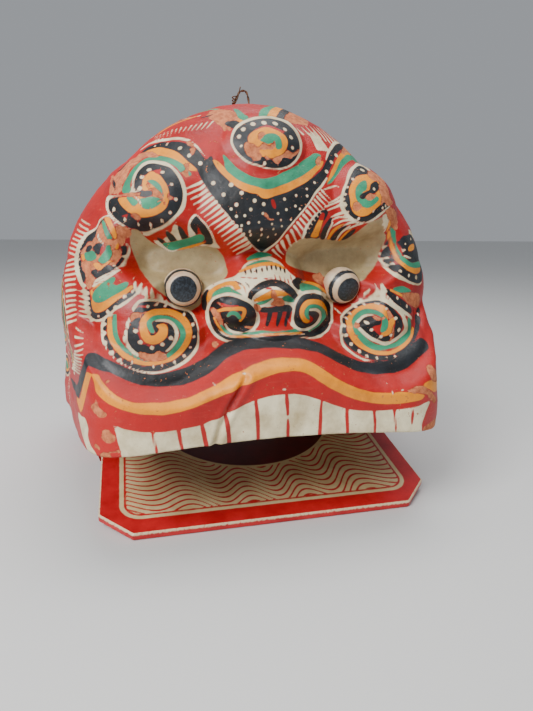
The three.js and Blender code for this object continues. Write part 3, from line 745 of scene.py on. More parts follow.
    ("area", "loss", [133,313, 140,312, 147,311, 142,315, 141,320, 137,318, 133,320, 131,325, 130,320]),
    ("area", "loss", [138.5,352.5, 146,353, 154,355, 160,352, 165,355, 164,359.5, 155,360.5, 146,360,
      141,357.5]),
    ("ribbon", "bare", [139,306,1.5, 143,306.5,2, 148,306.5,1]),
    ("dots", "cream", [105,324,2.4, 105.5,333,2.2, 106,342.7,2.5, 112.5,352.7,2.5, 120.5,360.3,2.3,
      132,362,1.8, 142,366,1.9, 153,366.3,1.9, 162,365.7,1.9, 174.5,362.2,2.1, 184,356.3,2.1,
      190.5,347.3,1.8, 194,336.5,1.9, 192.7,324.5,2.1, 184,314.5,2, 165,306,2, 156,304.3,2.3,
      147.5,306.3,2.2, 135.5,331,3, 140.5,342.3,3, 152,347.7,2.9, 162.5,344.2,2.8, 170.7,338,2.9,
      164,355,1.6]),
  ],
  "strokes over the left cheek": [
    ("ribbon", "cream", [136.5,290,3.4, 135,284,3, 134,277,0.8]),
    ("ribbon", "cream", [142.5,294,3.2, 141.5,288,3, 141,282,0.8]),
    ("ribbon", "cream", [147,297.5,3.4, 146,291,3, 145.5,284,0.8]),
    ("ribbon", "cream", [152,297,3, 151.5,292,2.6, 151,286,0.8]),
    ("ribbon", "cream", [157.5,300,3, 156.5,295,2.6, 156,289,0.8]),
    ("ribbon", "cream", [162.5,301.5,2.6, 161,298,2.2, 160,294,0.6]),
    ("ribbon", "cream", [168,304,2.2, 166,300.5,1.8, 165,297,0.6]),
  ],
  "nose": [
    ("area", "cream", [248,262, 256,257.5, 264,255, 272,257, 280,262, 286,268, 292,274, 299,279,
      308,281.5, 318,285.5, 326,290.5, 331,297, 333,304, 333,314, 332,324, 328,332, 320,337.5, 308,339,
      290,339.5, 262,339.5, 245,340.5, 232,342.5, 222,341, 215,336, 209,328, 206.5,320, 205,311, 203,302,
      201,296, 204,290.5, 210,285.5, 218,281.5, 226,279, 234,276.5, 240,271, 243,266]),
    ("area", "green", [246,259.5, 251,255, 258,252, 267,252.8, 273,255.5, 264,257, 256,259, 250,261]),
    ("ribbon", "orange", [247,261.5,1, 254,259.5,1.6, 260,258,0.8]),
    ("ribbon", "green", [247,266.5,1.8, 255,263,3, 264,261,3, 272,261.5,1.6]),
    ("ribbon", "orange", [240,271.5,2.4, 248,268,3.4, 257,265.2,3.6, 266,263.7,3.8, 276,264.5,3.6,
      285,268.5,2]),
    ("ribbon", "black", [245,270,1.2, 245.3,272,2.2, 245.7,274.2,1.2]),
    ("ribbon", "black", [250.5,269.3,1.2, 250.8,271.3,2.2, 251.2,273.5,1.2]),
    ("ribbon", "black", [256,268.8,1.2, 256.3,270.8,2.2, 256.7,273,1.2]),
    ("ribbon", "black", [261.5,267.8,1.2, 261.8,269.8,2.2, 262.2,272,1.2]),
    ("ribbon", "black", [266.5,266.5,1.2, 266.8,268.5,2.2, 267.2,270.7,1.2]),
    ("ribbon", "black", [271,265.5,1.2, 271.3,267.5,2.2, 271.7,269.7,1.2]),
    ("ribbon", "black", [275.5,265.8,1.2, 275.8,267.8,2.2, 276.2,270,1.2]),
    ("ribbon", "black", [280,266.8,1.2, 280.3,268.8,2.2, 280.7,271,1.2]),
    ("ribbon", "black", [284.5,268.5,1.2, 284.8,270.5,2.2, 285.2,272.7,1.2]),
    ("ribbon", "bare", [241,277.3,1, 243.2,277.5,1.6, 245.4,277.3,1]),
    ("ribbon", "bare", [247,277.6,1, 249.2,277.8,1.6, 251.4,277.6,1]),
    ("ribbon", "bare", [253,278.2,1, 255.2,278.4,1.6, 257.4,278.2,1]),
    ("ribbon", "bare", [264,278.6,1, 266.2,278.8,1.6, 268.4,278.6,1]),
    ("ribbon", "bare", [269,278,1, 271.2,278.2,1.6, 273.4,278,1]),
    ("ribbon", "bare", [275,275.2,1, 276,279,1.5]),
    ("ribbon", "bare", [279.5,276,1, 280.5,279.8,1.5]),
    ("ribbon", "bare", [284,277.2,1, 285,281,1.5]),
    ("ribbon", "bare", [288,279.2,1, 289,283,1.5]),
    ("ribbon", "bare", [290.5,274.7,1, 291.5,278.5,1.5]),
    ("area", "black", [202,298, 204.5,293, 208.5,289.5, 207,296, 206,304, 206.5,310, 203.5,309.5, 202,304]),
    ("area", "orange", [208,306, 206.5,298, 209,291, 215,286, 222,283, 230,281, 236.5,281.5, 238.5,285,
      241.5,289.5, 236,290, 232,286.5, 226,286, 219,288.5, 214,292.5, 211.5,298]),
    ("area", "green", [211,301, 212,295.5, 216,290.5, 222,287.5, 229,286.5, 233,289.5, 240,293, 243,296,
      236,297, 230,294, 222,294, 216,297]),
    ("ribbon", "black", [236,281,0.8, 240,283.5,2, 243,286,0.8]),
    ("ribbon", "black", [245,282,0.8, 248.5,285,1.8, 249.5,288,0.8]),
    ("ribbon", "orange", [242,284,1, 245,289,1.6, 246,294,0.8]),
    ("ribbon", "green", [222,327,3, 228,332,3.4, 237,334.3,3, 250,333.3,3, 265,332,3, 282,331,3.2,
      300,330.5,3.4, 311,329,3.6]),
    ("ribbon", "orange", [213,312,2, 216.5,322,2.6, 221.5,330,2.6, 230,335.5,2.4, 241,336.8,2.2,
      256,335.8,2, 280,333.8,2, 300,332.6,2.2, 313,330.8,2.6]),
    ("ribbon", "black", [210,314,2.6, 212.5,324,3.2, 218,332.5,3.4, 226,337.8,3.2, 236,339.5,3,
      256,338.3,2.8, 280,336.8,2.8, 300,336,2.8, 314,335,3, 324,330.5,3.2, 329.5,322,2.8]),
    ("area", "bare", [256.5,312, 261,308.5, 270,307, 284,306, 292,310, 292.5,318, 290.5,325, 293,329.5,
      262,331, 255.5,330, 258.5,322]),
    ("area", "black", [259,309.5, 264,307.5, 270,308.5, 275,307, 280,304, 286,303.5, 291.5,307.5,
      291,311.5, 284,311, 276,311.5, 270,312, 262,312]),
    ("ribbon", "black", [270,310,5, 269,317,4.6, 267,325,3.2]),
    ("ribbon", "black", [280.5,310,5, 279,317,4.6, 277,325,3]),
    ("ribbon", "black", [289.5,309,4, 287.5,317,4, 285.5,325.5,3]),
    ("area", "cream", [246,301, 250,293, 256,287, 264,282, 273,280.5, 282,282, 290,287, 297,294, 301,301,
      294,305, 284,304.5, 276,305, 266,305, 256,307, 251,304]),
    ("ribbon", "black", [250,299,5, 253,292.5,6.4, 260,287,7, 268,283.8,7.4, 276,283.3,7.4, 284,286,8,
      291,291.5,8, 296,297.5,6.4, 298.5,302,3]),
    ("area", "orange", [254,301.5, 258,297.5, 265,293, 272,290.5, 279,290.3, 286,292.5, 292,297, 288,297,
      282,296, 276,297.5, 268,299.5, 260,301.5]),
    ("area", "green", [256,303.5, 264,300.5, 273,298, 267,303, 259,305.5]),
    ("area", "green", [282,297.5, 288,294.8, 293.5,298.5, 294.5,302.5, 288,302, 284,300.5]),
    ("ribbon", "bare", [265,289.5,1, 270,288.5,2.2, 274,291,1]),
    ("area", "loss", [270,296, 273,289, 276,293, 277,297, 281,299, 284,303.5, 277,306, 271,305.5, 273,300]),
    ("ribbon", "cream", [212.5,331.5,2.4, 208.3,323,2.4, 207,313,2.4, 209,304.5,2.6, 215,297.7,2.6,
      223,294.7,2.8, 232,294.4,3, 240,297,3.4, 248,300,3.2, 253.5,304.5,2.8, 256.7,311,2.6,
      258.4,318,2.6, 257.5,325,2.4, 252.5,331,2]),
    ("area", "black", [209.5,313, 210.5,306, 214.5,300.5, 220.5,297.5, 228,296.7, 236,298.3, 243,301,
      249.5,304.3, 254,309.3, 256,316, 255,323, 251,328.5, 244,332, 236,333, 229,331, 221,331, 214,324]),
    ("ribbon", "loss", [213,309.5,3.6, 216.5,314,4.6, 220,320,4.4, 222.5,326,2]),
    ("ribbon", "orange", [218,311,3, 224,309.3,3.8, 231,308.6,3.8, 238.5,308.5,4.2, 244,310.3,4.2,
      243.5,315.5,4, 240.5,320.5,3]),
    ("ribbon", "orange", [214.5,318,2.2, 218,325,2.6, 223,331.5,2.4]),
    ("ribbon", "green", [228,316,3, 231,313,4.2, 236,313.5,4.6, 240,318,4]),
    ("ribbon", "green", [221,325.5,2.6, 226,331.5,3.2, 232,334,3]),
    ("ribbon", "cream", [225,324,1.6, 228,329,2.2, 234,332.5,2.2, 242,333.3,1.6]),
    ("ribbon", "bare", [217,303,1, 223,304.5,2.4, 228,306,2, 238,305.8,1.6]),
    ("ribbon", "loss", [219,302.5,1, 222,306,2.6, 226,307,1]),
    ("ribbon", "loss", [245,327,1, 250,327.3,2, 254,326,1.4]),
    ("area", "loss", [254,304, 258,305, 260,310, 257,313, 255,309]),
    ("area", "black", [293,280.5, 298,278, 303,281, 300.5,285, 299.5,290, 294.5,286]),
    ("area", "green", [300.5,284, 308,283, 316,286, 324,292, 317,292.8, 308,292.3, 301,291]),
    ("ribbon", "orange", [302,282,1.6, 313,283.8,2.6, 321,288,2.6, 327.5,294.5,1.6]),
    ("area", "black", [294,320, 295.5,308, 300,299, 307,294.5, 315,293.7, 323,296.7, 328.7,303,
      330.3,312, 329.8,322, 325,330, 317,334.5, 306,334, 298,328]),
    ("ribbon", "green", [309,330,3.4, 316,325.5,4, 322,319,4.4, 324,312.5,4.6, 320.5,307.5,4.4,
      314,305.8,4.4, 308.5,308.5,4.6, 306.5,314,4.4, 308.5,319,3.6]),
    ("ribbon", "orange", [309.5,322,3.4, 304.5,320,4.8, 302,314,4.6, 303.5,307.5,5, 309,302.5,5.4,
      316,301.5,5.2, 322,304,4.8, 326,309,3.4, 327,314,1.4]),
    ("ribbon", "cream", [330,324,2.2, 332,315,2, 331.5,306,2.2, 328.3,298,2.4, 321,293,2.6,
      313,291.3,2.8, 305,292.7,2.8, 299,297,2.8, 295,304,2.6, 293.5,312,2.4, 292.7,320,2.4,
      295.7,327,2.6, 302,329.7,2.6, 309,328.2,2.4, 315,325,2.2, 319.5,319,2.2, 320.3,313.5,2.4,
      316.5,309.8,2.8, 310.5,310,2]),
    ("area", "black", [311,311.5, 316,314, 318,318.5, 312.5,324, 305,326.3, 298.5,324.5, 296.5,320,
      300,321.5, 306,324, 310.5,322, 312.5,317]),
    ("ribbon", "bare", [310,316,1.4, 312,319.5,2.4, 309.5,322.5,1.4]),
    ("area", "cream", [212,341.5, 217.5,344.5, 214,347.5]),
  ],
  "right cheek spiral": [
    ("ribbon", "black", [417.5,309,3, 416.3,320,4.4, 415.3,331,4.4, 412,340,5, 406,347.3,5.4,
      398,353,5.8, 389,356.8,6.2, 379,358,6.6, 369,355.5,6.6, 360,350.5,7, 351,344.7,6.8, 345.5,337,6.2,
      343.6,328,5, 344.3,319,5.4, 349,312.7,5, 356,307.3,5, 364,303.7,5, 372,302.2,4.6, 379,302.8,5.6,
      385,306.3,6, 391,311.3,7.6, 396,318.3,8.8, 398,326,9.4, 394,333.5,9.6, 387,337.5,8.4, 379,337,8,
      371,333,9, 364,327,9.6]),
    ("area", "black", [359,325, 361,320, 367,316.7, 374,316.7, 380,319, 380,324, 373,327, 371,331, 364,329]),
    ("ribbon", "cream", [403.5,317,3.4, 399,310,3.6, 391.5,304.3,4, 384.5,299.8,3.8, 377,298.2,3.6,
      369,300,2.2, 361,302,2.2, 353,306,2.2, 345,311.7,2.2, 341,317.5,2.2, 340.5,328,2, 341.5,339,2.6,
      344,346,3, 350,351,2.2, 357,356.3,2.2, 366,360.3,2, 377,362.3,1.6, 389,361.3,1.3, 400,357,1.1]),
    ("ribbon", "orange", [412.5,328,2.4, 409.3,338,4.4, 403,345,5.2, 395,350,5.8, 385,352.7,5.8,
      375,351.3,6.4, 366,346.8,7, 357,340.8,7.4, 351,332,7, 349,323,7, 353,315,7, 360,309.7,6.4,
      369,306.7,5.8, 378,306.8,6.4, 385,311,7.4, 390,318,7.6, 391,326,7.4, 386.5,332,6.4, 381,334,4]),
    ("ribbon", "green", [409,316,3, 408.5,328,5, 404.3,337,5.4, 397,343.5,5.4, 388,347.4,5.6, 378,348,6,
      369,343.7,6.4, 361,337,6, 355.7,328,5.6, 355.3,319,6, 361,313.6,5.4, 369,311.3,5.2, 377,313,4.4,
      382.5,316.5,4, 385,321.5,6.4, 384,328,6.4, 381.5,331,3]),
    ("ribbon", "cream", [404.5,320,4, 405.7,329,3.4, 400,335.7,2.8, 392,341,3.2, 384,343.7,3.4,
      376,341,3.4, 368,336.3,3.4, 361,330.3,3.4, 356.5,325,2.8, 360,319,2.4, 366,315.5,2.2, 373,315,1.6]),
    ("ribbon", "bare", [382,351,1, 390,349.5,2.2, 398,346.5,1]),
    ("area", "bare", [372.5,327, 378,325, 380,330, 381.5,335.5, 377,333]),
    ("ribbon", "loss", [356.5,327,3.4, 357.5,323,2]),
    ("ribbon", "loss", [372,314.5,1, 377,318.5,2.6, 383,318.5,1.4]),
    ("ribbon", "loss", [388.5,342,1, 391,338.5,2.4, 392.5,334,2.4, 393,322,1.4]),
    ("ribbon", "loss", [388,311,1.4, 390.5,316,3, 389,320,1]),
    ("dots", "cream", [344,325.5,2.4, 346,335.2,2.5, 351,344,2.2, 359,351,2.4, 366.7,356,2.1,
      376.7,358,1.9, 386,357.5,1.7, 394.5,356,1.5, 346.3,318,2.1, 349.7,313,2, 356.3,307,2,
      365.5,304.6,2, 377.6,303.5,2.2, 387,309,2.1, 395.5,318.5,2.3, 398.7,330,2.3, 366.7,322.5,2.7,
      371.5,329.7,2.2, 381,336.6,2.2, 390.5,335,2]),
  ],
  "right leaf": [
    ("area", "loss", [401,293, 410,292, 418,294.5, 419,302, 415,308, 409,304, 403,298.5]),
    ("ribbon", "cream", [384.5,289,3, 391,299,4, 399,307.5,4, 405,312.5,3.4, 411,318,2.4]),
    ("ribbon", "black", [388,292,5, 395,298,6.8, 403,304.5,7.2, 410,310.5,5.4]),
    ("ribbon", "orange", [390.5,290.3,2.2, 396,292.3,2.8, 402,295.5,2.2]),
    ("area", "green", [392.5,289, 399,286.3, 405,287, 411,291, 404,292.7, 398,291.7]),
    ("dots", "cream", [397.5,298,1.9, 407,306.3,1.6, 417,314.3,1.4]),
  ],
  "strokes over the right cheek": [
    ("ribbon", "cream", [384,300,4.4, 383,292,5, 380.5,283,1]),
    ("ribbon", "cream", [385.5,291,2.6, 383,287,2, 381,283,1]),
    ("ribbon", "cream", [377,298.5,3, 375.5,291,2.6, 374.3,283.5,0.8]),
    ("ribbon", "cream", [371,298,3, 369.5,293,2.6, 368,288,0.8]),
    ("ribbon", "cream", [366,299.5,2.6, 365,295,2.2, 364,291,0.8]),
    ("ribbon", "cream", [361,301,2.6, 359,298,2, 357.5,295.5,0.6]),
    ("ribbon", "cream", [353.5,305,1.8, 351,303.5,1.2]),
    ("ribbon", "cream", [339,312,1.8, 335,308.5,1.2]),
  ],
  "right temple": [
    ("area", "cream", [383,216, 384,226, 386,238, 381,247, 378,257, 384,267.5, 394,275.5, 404,280.5,
      413,284.5, 421,283, 421,260, 417,244, 411,232, 398,226, 390,214]),
    ("area", "black", [386,238, 382.5,248, 381,256, 387,265.5, 395.5,272.5, 405,278, 413,282, 421,281,
      421,262, 417,246, 411,235, 403,235, 400,241, 399,230, 393,222, 388,226]),
    ("dots", "cream", [385,222.5,2.4, 383.5,247,2.4, 386,258,2.4, 392.3,264,2.3, 400,271,2,
      408.5,275.5,1.8, 416.3,277.3,2]),
    ("area", "orange", [389,218, 387.5,226, 386.5,234, 387.5,243, 390.5,253, 396.5,262, 404.5,268.5,
      413,273.5, 419,273, 420,267, 411,267, 403,262, 397,254, 393,245, 391.5,235, 391.5,226]),
    ("area", "green", [390.5,225.5, 395,227.5, 397,236, 395.5,243, 399,251, 405,258, 412,262.5, 419,261,
      420,267, 411,267.5, 403,262.5, 396.5,254.5, 392.5,245, 391,235]),
    ("area", "bare", [395,214, 400,218, 406,226, 409,234, 403,236, 399,241, 396,240, 395.5,230]),
    ("area", "loss", [386,211, 392,207, 397,214, 398,222, 396,230, 392,226, 389,219]),
    ("ribbon", "cream", [397,242,1.5, 398.5,247,2, 402,252,1.6]),
    ("ribbon", "cream", [402,255.5,1, 407,257,2.2, 411,258,1]),
    ("area", "orange", [408,248, 411,244.5, 414,244, 414.5,249, 409,251.5]),
    ("dots", "cream", [405,244,1.2, 411,239,1.3, 404.5,250,1]),
    ("ribbon", "cream", [386.5,239,1, 384,243,1.6, 381,250,1.6, 379,257,2.4, 386,268,2.8, 395,275.5,2.8,
      405,280.5,2.4, 414,284,2]),
  ],
  "muzzle": [
    ("area", "black", [88,354.5, 95,354, 102,357, 110,361, 120,366, 130,370, 140,373, 152,375, 165,374,
      178,370.5, 190,366, 200,361, 208,356, 214,351, 222,346, 230,342, 240,340, 255,338.7, 270,338,
      285,337.8, 297,338, 308,340, 318,343, 327,347, 336,352, 345,356, 355,360.5, 365,362.7, 375,363,
      385,361.7, 395,358.5, 403,353.5, 410,348, 416,342, 420,338, 425,341, 428,347, 425,351, 420,356.5,
      412,363.3, 404,368.5, 395,371.7, 385,373, 375,373.5, 365,372.3, 355,369.7, 345,365.5, 337,361.3,
      328,356.3, 318,352, 308,349.5, 297,348.2, 285,347.6, 270,347.5, 255,348.2, 243,349.7, 235,353,
      228,357, 222,361.5, 216,367, 208,373, 200,377.2, 190,381.5, 178,384.7, 165,386, 152,386, 140,384.3,
      130,381, 120,376.5, 110,372, 100,369.3, 93,367, 88,364]),
    ("area", "black", [89,354, 85,357.5, 82.5,366, 80,375, 77,385.5, 74,382, 71,378, 72.5,385, 75,392,
      78,398, 80.5,392, 82.5,384, 84.5,376, 86.5,367, 89,363]),
    ("area", "orange", [90,374, 98,374, 101,379, 105,385, 110,390.3, 118,396.3, 126,400.3, 135,402.5,
      150,403, 165,402.5, 178,400.3, 190,397, 200,393, 210,388, 220,382.3, 230,376.3, 240,370.7, 250,366,
      260,362.3, 270,359.5, 280,358, 290,357.5, 300,358.5, 310,361.5, 320,367, 330,374, 340,380, 350,385,
      360,389, 370,391.5, 380,392.6, 390,392.7, 402,392.2, 414,393, 424,395, 422,399, 412,402, 400,403.6,
      388,404, 376,403.2, 365,402, 355,399.2, 345,395.3, 335,390.7, 325,385, 315,378.3, 307,373.7,
      300,371.6, 290,371.2, 280,372.7, 270,375.6, 260,379.2, 252,382.3, 243,386.3, 233,391.3, 222,396.3,
      212,400.7, 200,405.3, 190,409, 178,412.6, 165,414.6, 150,415, 138,414.5, 127,411.7, 117,407.7,
      108,403, 100,397, 96,392, 95,386, 93,379]),
    ("area", "orange", [86,372, 84,380, 82,390, 79.5,399, 76.5,396, 78,404, 80.5,411, 82,412, 84,404,
      86,395, 88,386, 90,379, 90,374]),
    ("area", "orange", [423,386.5, 428,381.5, 434,379.5, 438,381.5, 437,388, 434,392, 429,389]),
    ("area", "cream", [113,425, 120,428, 130,431, 142,432.2, 155,432.3, 167,431.6, 180,429.7, 192,427.2,
      203,424.3, 213,420.5, 222,417.3, 228,413.5, 235,409.7, 243,405.2, 252,401.3, 262,398.2, 272,395.6,
      283,394.2, 294,394, 305,395.5, 315,398.7, 325,401.6, 335,405.5, 347,408.6, 360,410.6, 372,411,
      385,410.3, 398,409.6, 410,408, 420,405.3, 430,401, 428,408, 425,415, 422,424, 421,433, 400,434,
      375,435, 350,437, 325,438, 300,440, 275,442, 250,444, 225,447, 200,451, 175,456, 150,461, 127,465,
      121,452, 118,442, 115.5,433], {34: -8, 35: -8, 36: -8, 37: -8, 38: -8, 39: -8, 40: -8, 41: -8,
      42: -8, 43: -8, 44: -8, 45: -8, 46: -8}),
    ("area", "cream", [78.5,412, 82,416, 86,419, 88.5,428, 88.5,436, 91.5,446, 96,453, 100,460, 92,452,
      85,440, 81,425], {7: -6, 8: -6, 9: -4, 10: -2}),
    ("ribbon", "bare", [152.5,431,2.6, 155,444,3.4, 158.5,460,2.6]),
    ("ribbon", "bare", [178.5,428.5,4, 180,438,4, 182.5,452,3.4]),
    ("ribbon", "bare", [201.5,422,3.6, 204,434,4.6, 207,450,4.6]),
    ("ribbon", "bare", [225,414,3.4, 227.5,426,4.6, 229.5,447,4]),
    ("ribbon", "bare", [255.5,399.5,3.4, 257.5,418,4, 258,444,3.4]),
    ("ribbon", "bare", [286,392,3.2, 287,402,4, 287.5,414,3]),
    ("ribbon", "bare", [287.5,419,2, 288,427,3.6, 288,441,2.6]),
    ("ribbon", "bare", [321.5,399,2, 320.5,418,3.6, 319,439,4]),
    ("ribbon", "bare", [347,407,3.4, 347.5,420,3.6, 347.5,437,2.6]),
    ("ribbon", "bare", [374,409.5,3, 375,420,3, 374.5,436,2.2]),
    ("ribbon", "bare", [394,408,3, 395,418,2.6, 396.5,433,2]),
    ("ribbon", "bare", [411.5,406,2, 413,415,3, 412.5,424,1.6]),
    ("area", "loss", [91,407, 95,402, 97,398, 99,408, 104,412, 106,415, 100,417, 95,412]),
    ("area", "loss", [102.5,432, 108,430.5, 112,434.5, 115,439, 114,443, 108,444, 104,440]),
    ("area", "loss", [94,443, 98,444, 101,449, 97,449.5]),
    ("area", "loss", [100,454, 108,451, 118,450, 121,453, 118,459, 128,461, 112,463, 101,462], {5: -5,
      6: -5, 7: -5}),
    ("area", "bare", [111,454, 117,452.5, 122,455, 120,458.5, 113,458]),
    ("area", "loss", [104,381, 108,379.5, 111,381.5, 107,383.5]),
    ("area", "loss", [213,341, 217.5,344, 214,347.5, 212,344]),
    ("area", "loss", [406,391.5, 415,389, 423,386, 428,390, 432,393, 436,398, 434,404, 430,399, 425,394,
      417,393.5]),
    ("area", "loss", [429,364, 434,368, 438,377, 436,381, 431,379, 429,372]),
    ("area", "loss", [432,421, 438,415, 440,420, 437,427, 428,430, 424,428], {3: -4, 4: -4}),
    ("ribbon", "cream", [242,372.5,1.6, 244,373,2.6]),
    ("ribbon", "cream", [213,383.5,1.6, 214.5,384.5,2]),
    ("ribbon", "cream", [283,389,1.6, 285,389,2]),
    ("ribbon", "cream", [391,390.5,1, 393,393.5,1.6]),
    ("ribbon", "cream", [401,391,1, 404,389.5,1.6]),
    ("ribbon", "cream", [385,382,0.8, 388,384,1.4]),
  ],
  "left edge line": [
    ("ribbon", "cream", [83,289,1.8, 86,301,2, 88,312,2.4, 91,320,2.4]),
  ],
  "left rim strokes": [
    ("strokes", "cream", [87.5,293, 90.5,317], (6, 3.4, 1), [79,291, 79,316]),
    ("strokes", "cream", [76.5,259, 76,288, 76.5,320], (13, 1.6, 2.2), [67.5,261, 66,290, 67,323]),
    ("strokes", "cream", [90,225, 84,240, 78,256], (8, 1.8, 1.6), [81,219, 75,235, 69,252]),
    ("strokes", "cream", [75.5,327, 75,350, 72,368], (11, 2, 1), [83,333, 83,356, 80,374]),
  ],
  "strokes beside the V": [
    ("strokes", "cream", [201,182, 211,197, 226,216, 250,247], (17, 2.8, 0.8), [184,190, 194,206,
      211,226, 236,255]),
    ("strokes", "cream", [273,250, 293,228, 310,206, 322,190], (16, 2.3, 0.9), [281.5,258, 302,237,
      320,215, 331,199]),
  ],
  "dome strokes": [
    ("strokes", "cream", [296,127, 306,126, 318,127, 327,129], (9, 0.9, 2.3), [303,134, 315,135, 329,143,
      336,141]),
    ("strokes", "cream", [309,133, 314,132], (5, 1, 4), [318,149, 327,150]),
    ("strokes", "cream", [156,136, 176,129, 196,124, 213,121], (14, 1.8, 0.8), [153,142, 171,135,
      190,131, 206,129]),
  ],
}



# The fold in the muzzle, in pixels of the photo
FOLD = [(246, 378), (238, 395), (229, 410), (222, 424), (215, 445)]
FOLD_DEPTH, FOLD_REACH = 2.2, 2.2
RIDGE_HEIGHT, RIDGE_AWAY, RIDGE_REACH = 1.2, 5, 3

# How finely the head is sampled to find what a pixel shows, and which part of it faces the photo
SEEN_COLUMNS, SEEN_ROWS = 2000, 1300
SEEN_BEARING = math.radians(150)
SEEN_LEVELS = (-0.42, 0.99)
CELLS_PER_PX = 2
HIDDEN_BEHIND = 14
STRETCH_PX = 4
LEAST_STRETCH, MOST_STRETCH = 0.5, 1.6
LEAST_ALONG = 0.3


class PhotoPlaces:
    """Finds where a pixel of the photo lies on the head, in mm across its face and up."""

    def __init__(self):
        bearings, levels = np.meshgrid(np.linspace(-SEEN_BEARING, SEEN_BEARING, SEEN_COLUMNS),
                                       np.linspace(*SEEN_LEVELS, SEEN_ROWS), indexing="ij")
        _, surface = head_point(bearings, levels, False)
        self.on_head = np.stack(arc_coordinates(bearings, levels), -1).reshape(-1, 2)
        right, up, forward = (np.array(axis) for axis in camera_axes())
        reach = surface.reshape(-1, 3) - np.array(CAMERA_PLACE)
        away = reach @ forward
        pixels = np.stack([PHOTO_WIDTH_PX / 2 + FOCAL_PX * (reach @ right) / away,
                           PHOTO_HEIGHT_PX / 2 - FOCAL_PX * (reach @ up) / away], -1)
        seen = self.in_front(pixels, away)
        self.on_head = self.on_head[seen]
        self.tree = KDTree(len(self.on_head))
        for index, (across, down) in enumerate(pixels[seen].tolist()):
            self.tree.insert((across, down, 0), index)
        self.tree.balance()

    def in_front(self, pixels, away):
        """The samples inside the photo that nothing nearer hides."""
        cells = np.round(pixels * CELLS_PER_PX).astype(int)
        size = np.array([PHOTO_WIDTH_PX, PHOTO_HEIGHT_PX]) * CELLS_PER_PX
        inside = ((cells >= 0) & (cells < size)).all(-1)
        across, down = cells[inside].T
        nearest = np.full(size, 1e9)
        np.minimum.at(nearest, (across, down), away[inside])
        for axis in (0, 1):
            nearest = np.minimum.reduce([np.roll(nearest, step, axis) for step in range(-2, 3)])
        seen = inside.copy()
        seen[inside] = away[inside] < nearest[across, down] + HIDDEN_BEHIND
        return seen

    def place(self, across, down):
        found = [index for _, index, _ in self.tree.find_n((across, down, 0), 4)]
        return self.on_head[found].mean(0)

    def line(self, numbers):
        return [tuple(self.place(*pixel)) for pixel in pairs(numbers)]

    def stretch(self, across, down, run=None):
        """Surface mm to a pixel, for a round dab or across a line with a given run in the photo."""
        by_column = self.place(across + STRETCH_PX, down) - self.place(across - STRETCH_PX, down)
        by_row = self.place(across, down + STRETCH_PX) - self.place(across, down - STRETCH_PX)
        by_column, by_row = by_column / (2 * STRETCH_PX), by_row / (2 * STRETCH_PX)
        area = abs(by_column[0] * by_row[1] - by_column[1] * by_row[0])
        if run is None:
            scale = math.sqrt(area)
        else:
            along = np.hypot(*(by_column * run[0] + by_row * run[1])) / (math.hypot(*run) or 1)
            scale = area / max(along, LEAST_ALONG)
        return min(max(scale, LEAST_STRETCH), MOST_STRETCH)

    def dabs(self, triples):
        return [(*self.place(x, y), radius * self.stretch(x, y)) for x, y, radius in triples]

    def knots(self, triples):
        """Places and widths of a brush line, each width measured across the line there."""
        made = []
        for i, (x, y, width) in enumerate(triples):
            before, after = triples[max(i - 1, 0)], triples[min(i + 1, len(triples) - 1)]
            run = (after[0] - before[0], after[1] - before[1])
            made.append((*self.place(x, y), width * self.stretch(x, y, run)))
        return made


def lay_pattern(paint, pieces):
    photo = paint.photo
    for kind, coat, numbers, *rest in pieces:
        triples = list(zip(numbers[::3], numbers[1::3], numbers[2::3]))
        if kind == "area":
            shifts = rest[0] if rest else {}
            outline = [(s, t + shifts.get(i, 0)) for i, (s, t) in enumerate(photo.line(numbers))]
            lay_area(paint, coat, outline)
        elif kind == "strokes":
            brush, ends = rest
            lay_strokes(paint, coat, photo.line(numbers), brush, photo.line(ends))
        elif kind == "dots":
            lay_dots(paint, coat, photo.dabs(triples))
        else:
            lay_ribbon(paint, coat, photo.knots(triples))


CURL_DABS = 26
LEAVES, LEAF_SPACING = 7, 30


def side_motif(paint, hand):
    """Long curl down the side of the head and leaves behind it, past what the face shows."""
    curl = mirrored([(199, 20), (205, -4), (216, -12), (230, 6), (232, 36), (224, 66), (210, 80),
                     (200, 62)], hand)
    near = near_shape(paint, curl, 30)
    inside = polygon_distance(paint.s[near], paint.t[near], rounded(curl))
    for coat, step in (("cream", -1.8), ("black", 0), ("orange", 4.5), ("green", 8), ("black", 12)):
        lay_near(paint, coat, near, inside - step)
    ring = curl + curl[:1]
    lay_dots(paint, "cream", [(mix(215 * hand, x, 0.88), mix(34, y, 0.94), 1.4)
                              for x, y in (place_on(ring, i / CURL_DABS) for i in range(CURL_DABS))])
    for i in range(LEAVES):
        s, t = 262 + 3 * (i % 2), -20 + LEAF_SPACING * i
        leaf = mirrored([(s - 14, t), (s, t + 11), (s + 16, t + 2), (s, t - 9)], hand)
        near = near_shape(paint, leaf, 12)
        inside = polygon_distance(paint.s[near], paint.t[near], rounded(leaf))
        for coat, step in (("cream", -1.8), ("black", 0), ("orange", 3), ("green", 5.5)):
            lay_near(paint, coat, near, inside - step)
    starts = mirrored([(240, -80), (242, 20), (238, 120), (225, 190)], hand)
    ends = mirrored([(252, -76), (254, 24), (250, 126), (236, 198)], hand)
    lay_strokes(paint, "cream", starts, (44, 2.4, 0.9), ends)


def right_rim(paint):
    """Strokes round the right edge of the face, which match the left ones."""
    lay_strokes(paint, "cream", [(178, 60), (186, 90), (188, 120), (178, 150)], (16, 2.6, 1),
                [(192, 60), (200, 90), (202, 124), (190, 158)])
    lay_strokes(paint, "cream", [(182, -30), (180, 0), (180, 30), (184, 50)], (14, 2.6, 1),
                [(196, -30), (194, 2), (194, 34), (198, 54)])


COATS = ("socket", "cream", "orange", "green", "black", "loss")
HAND_WOBBLE = 0.35


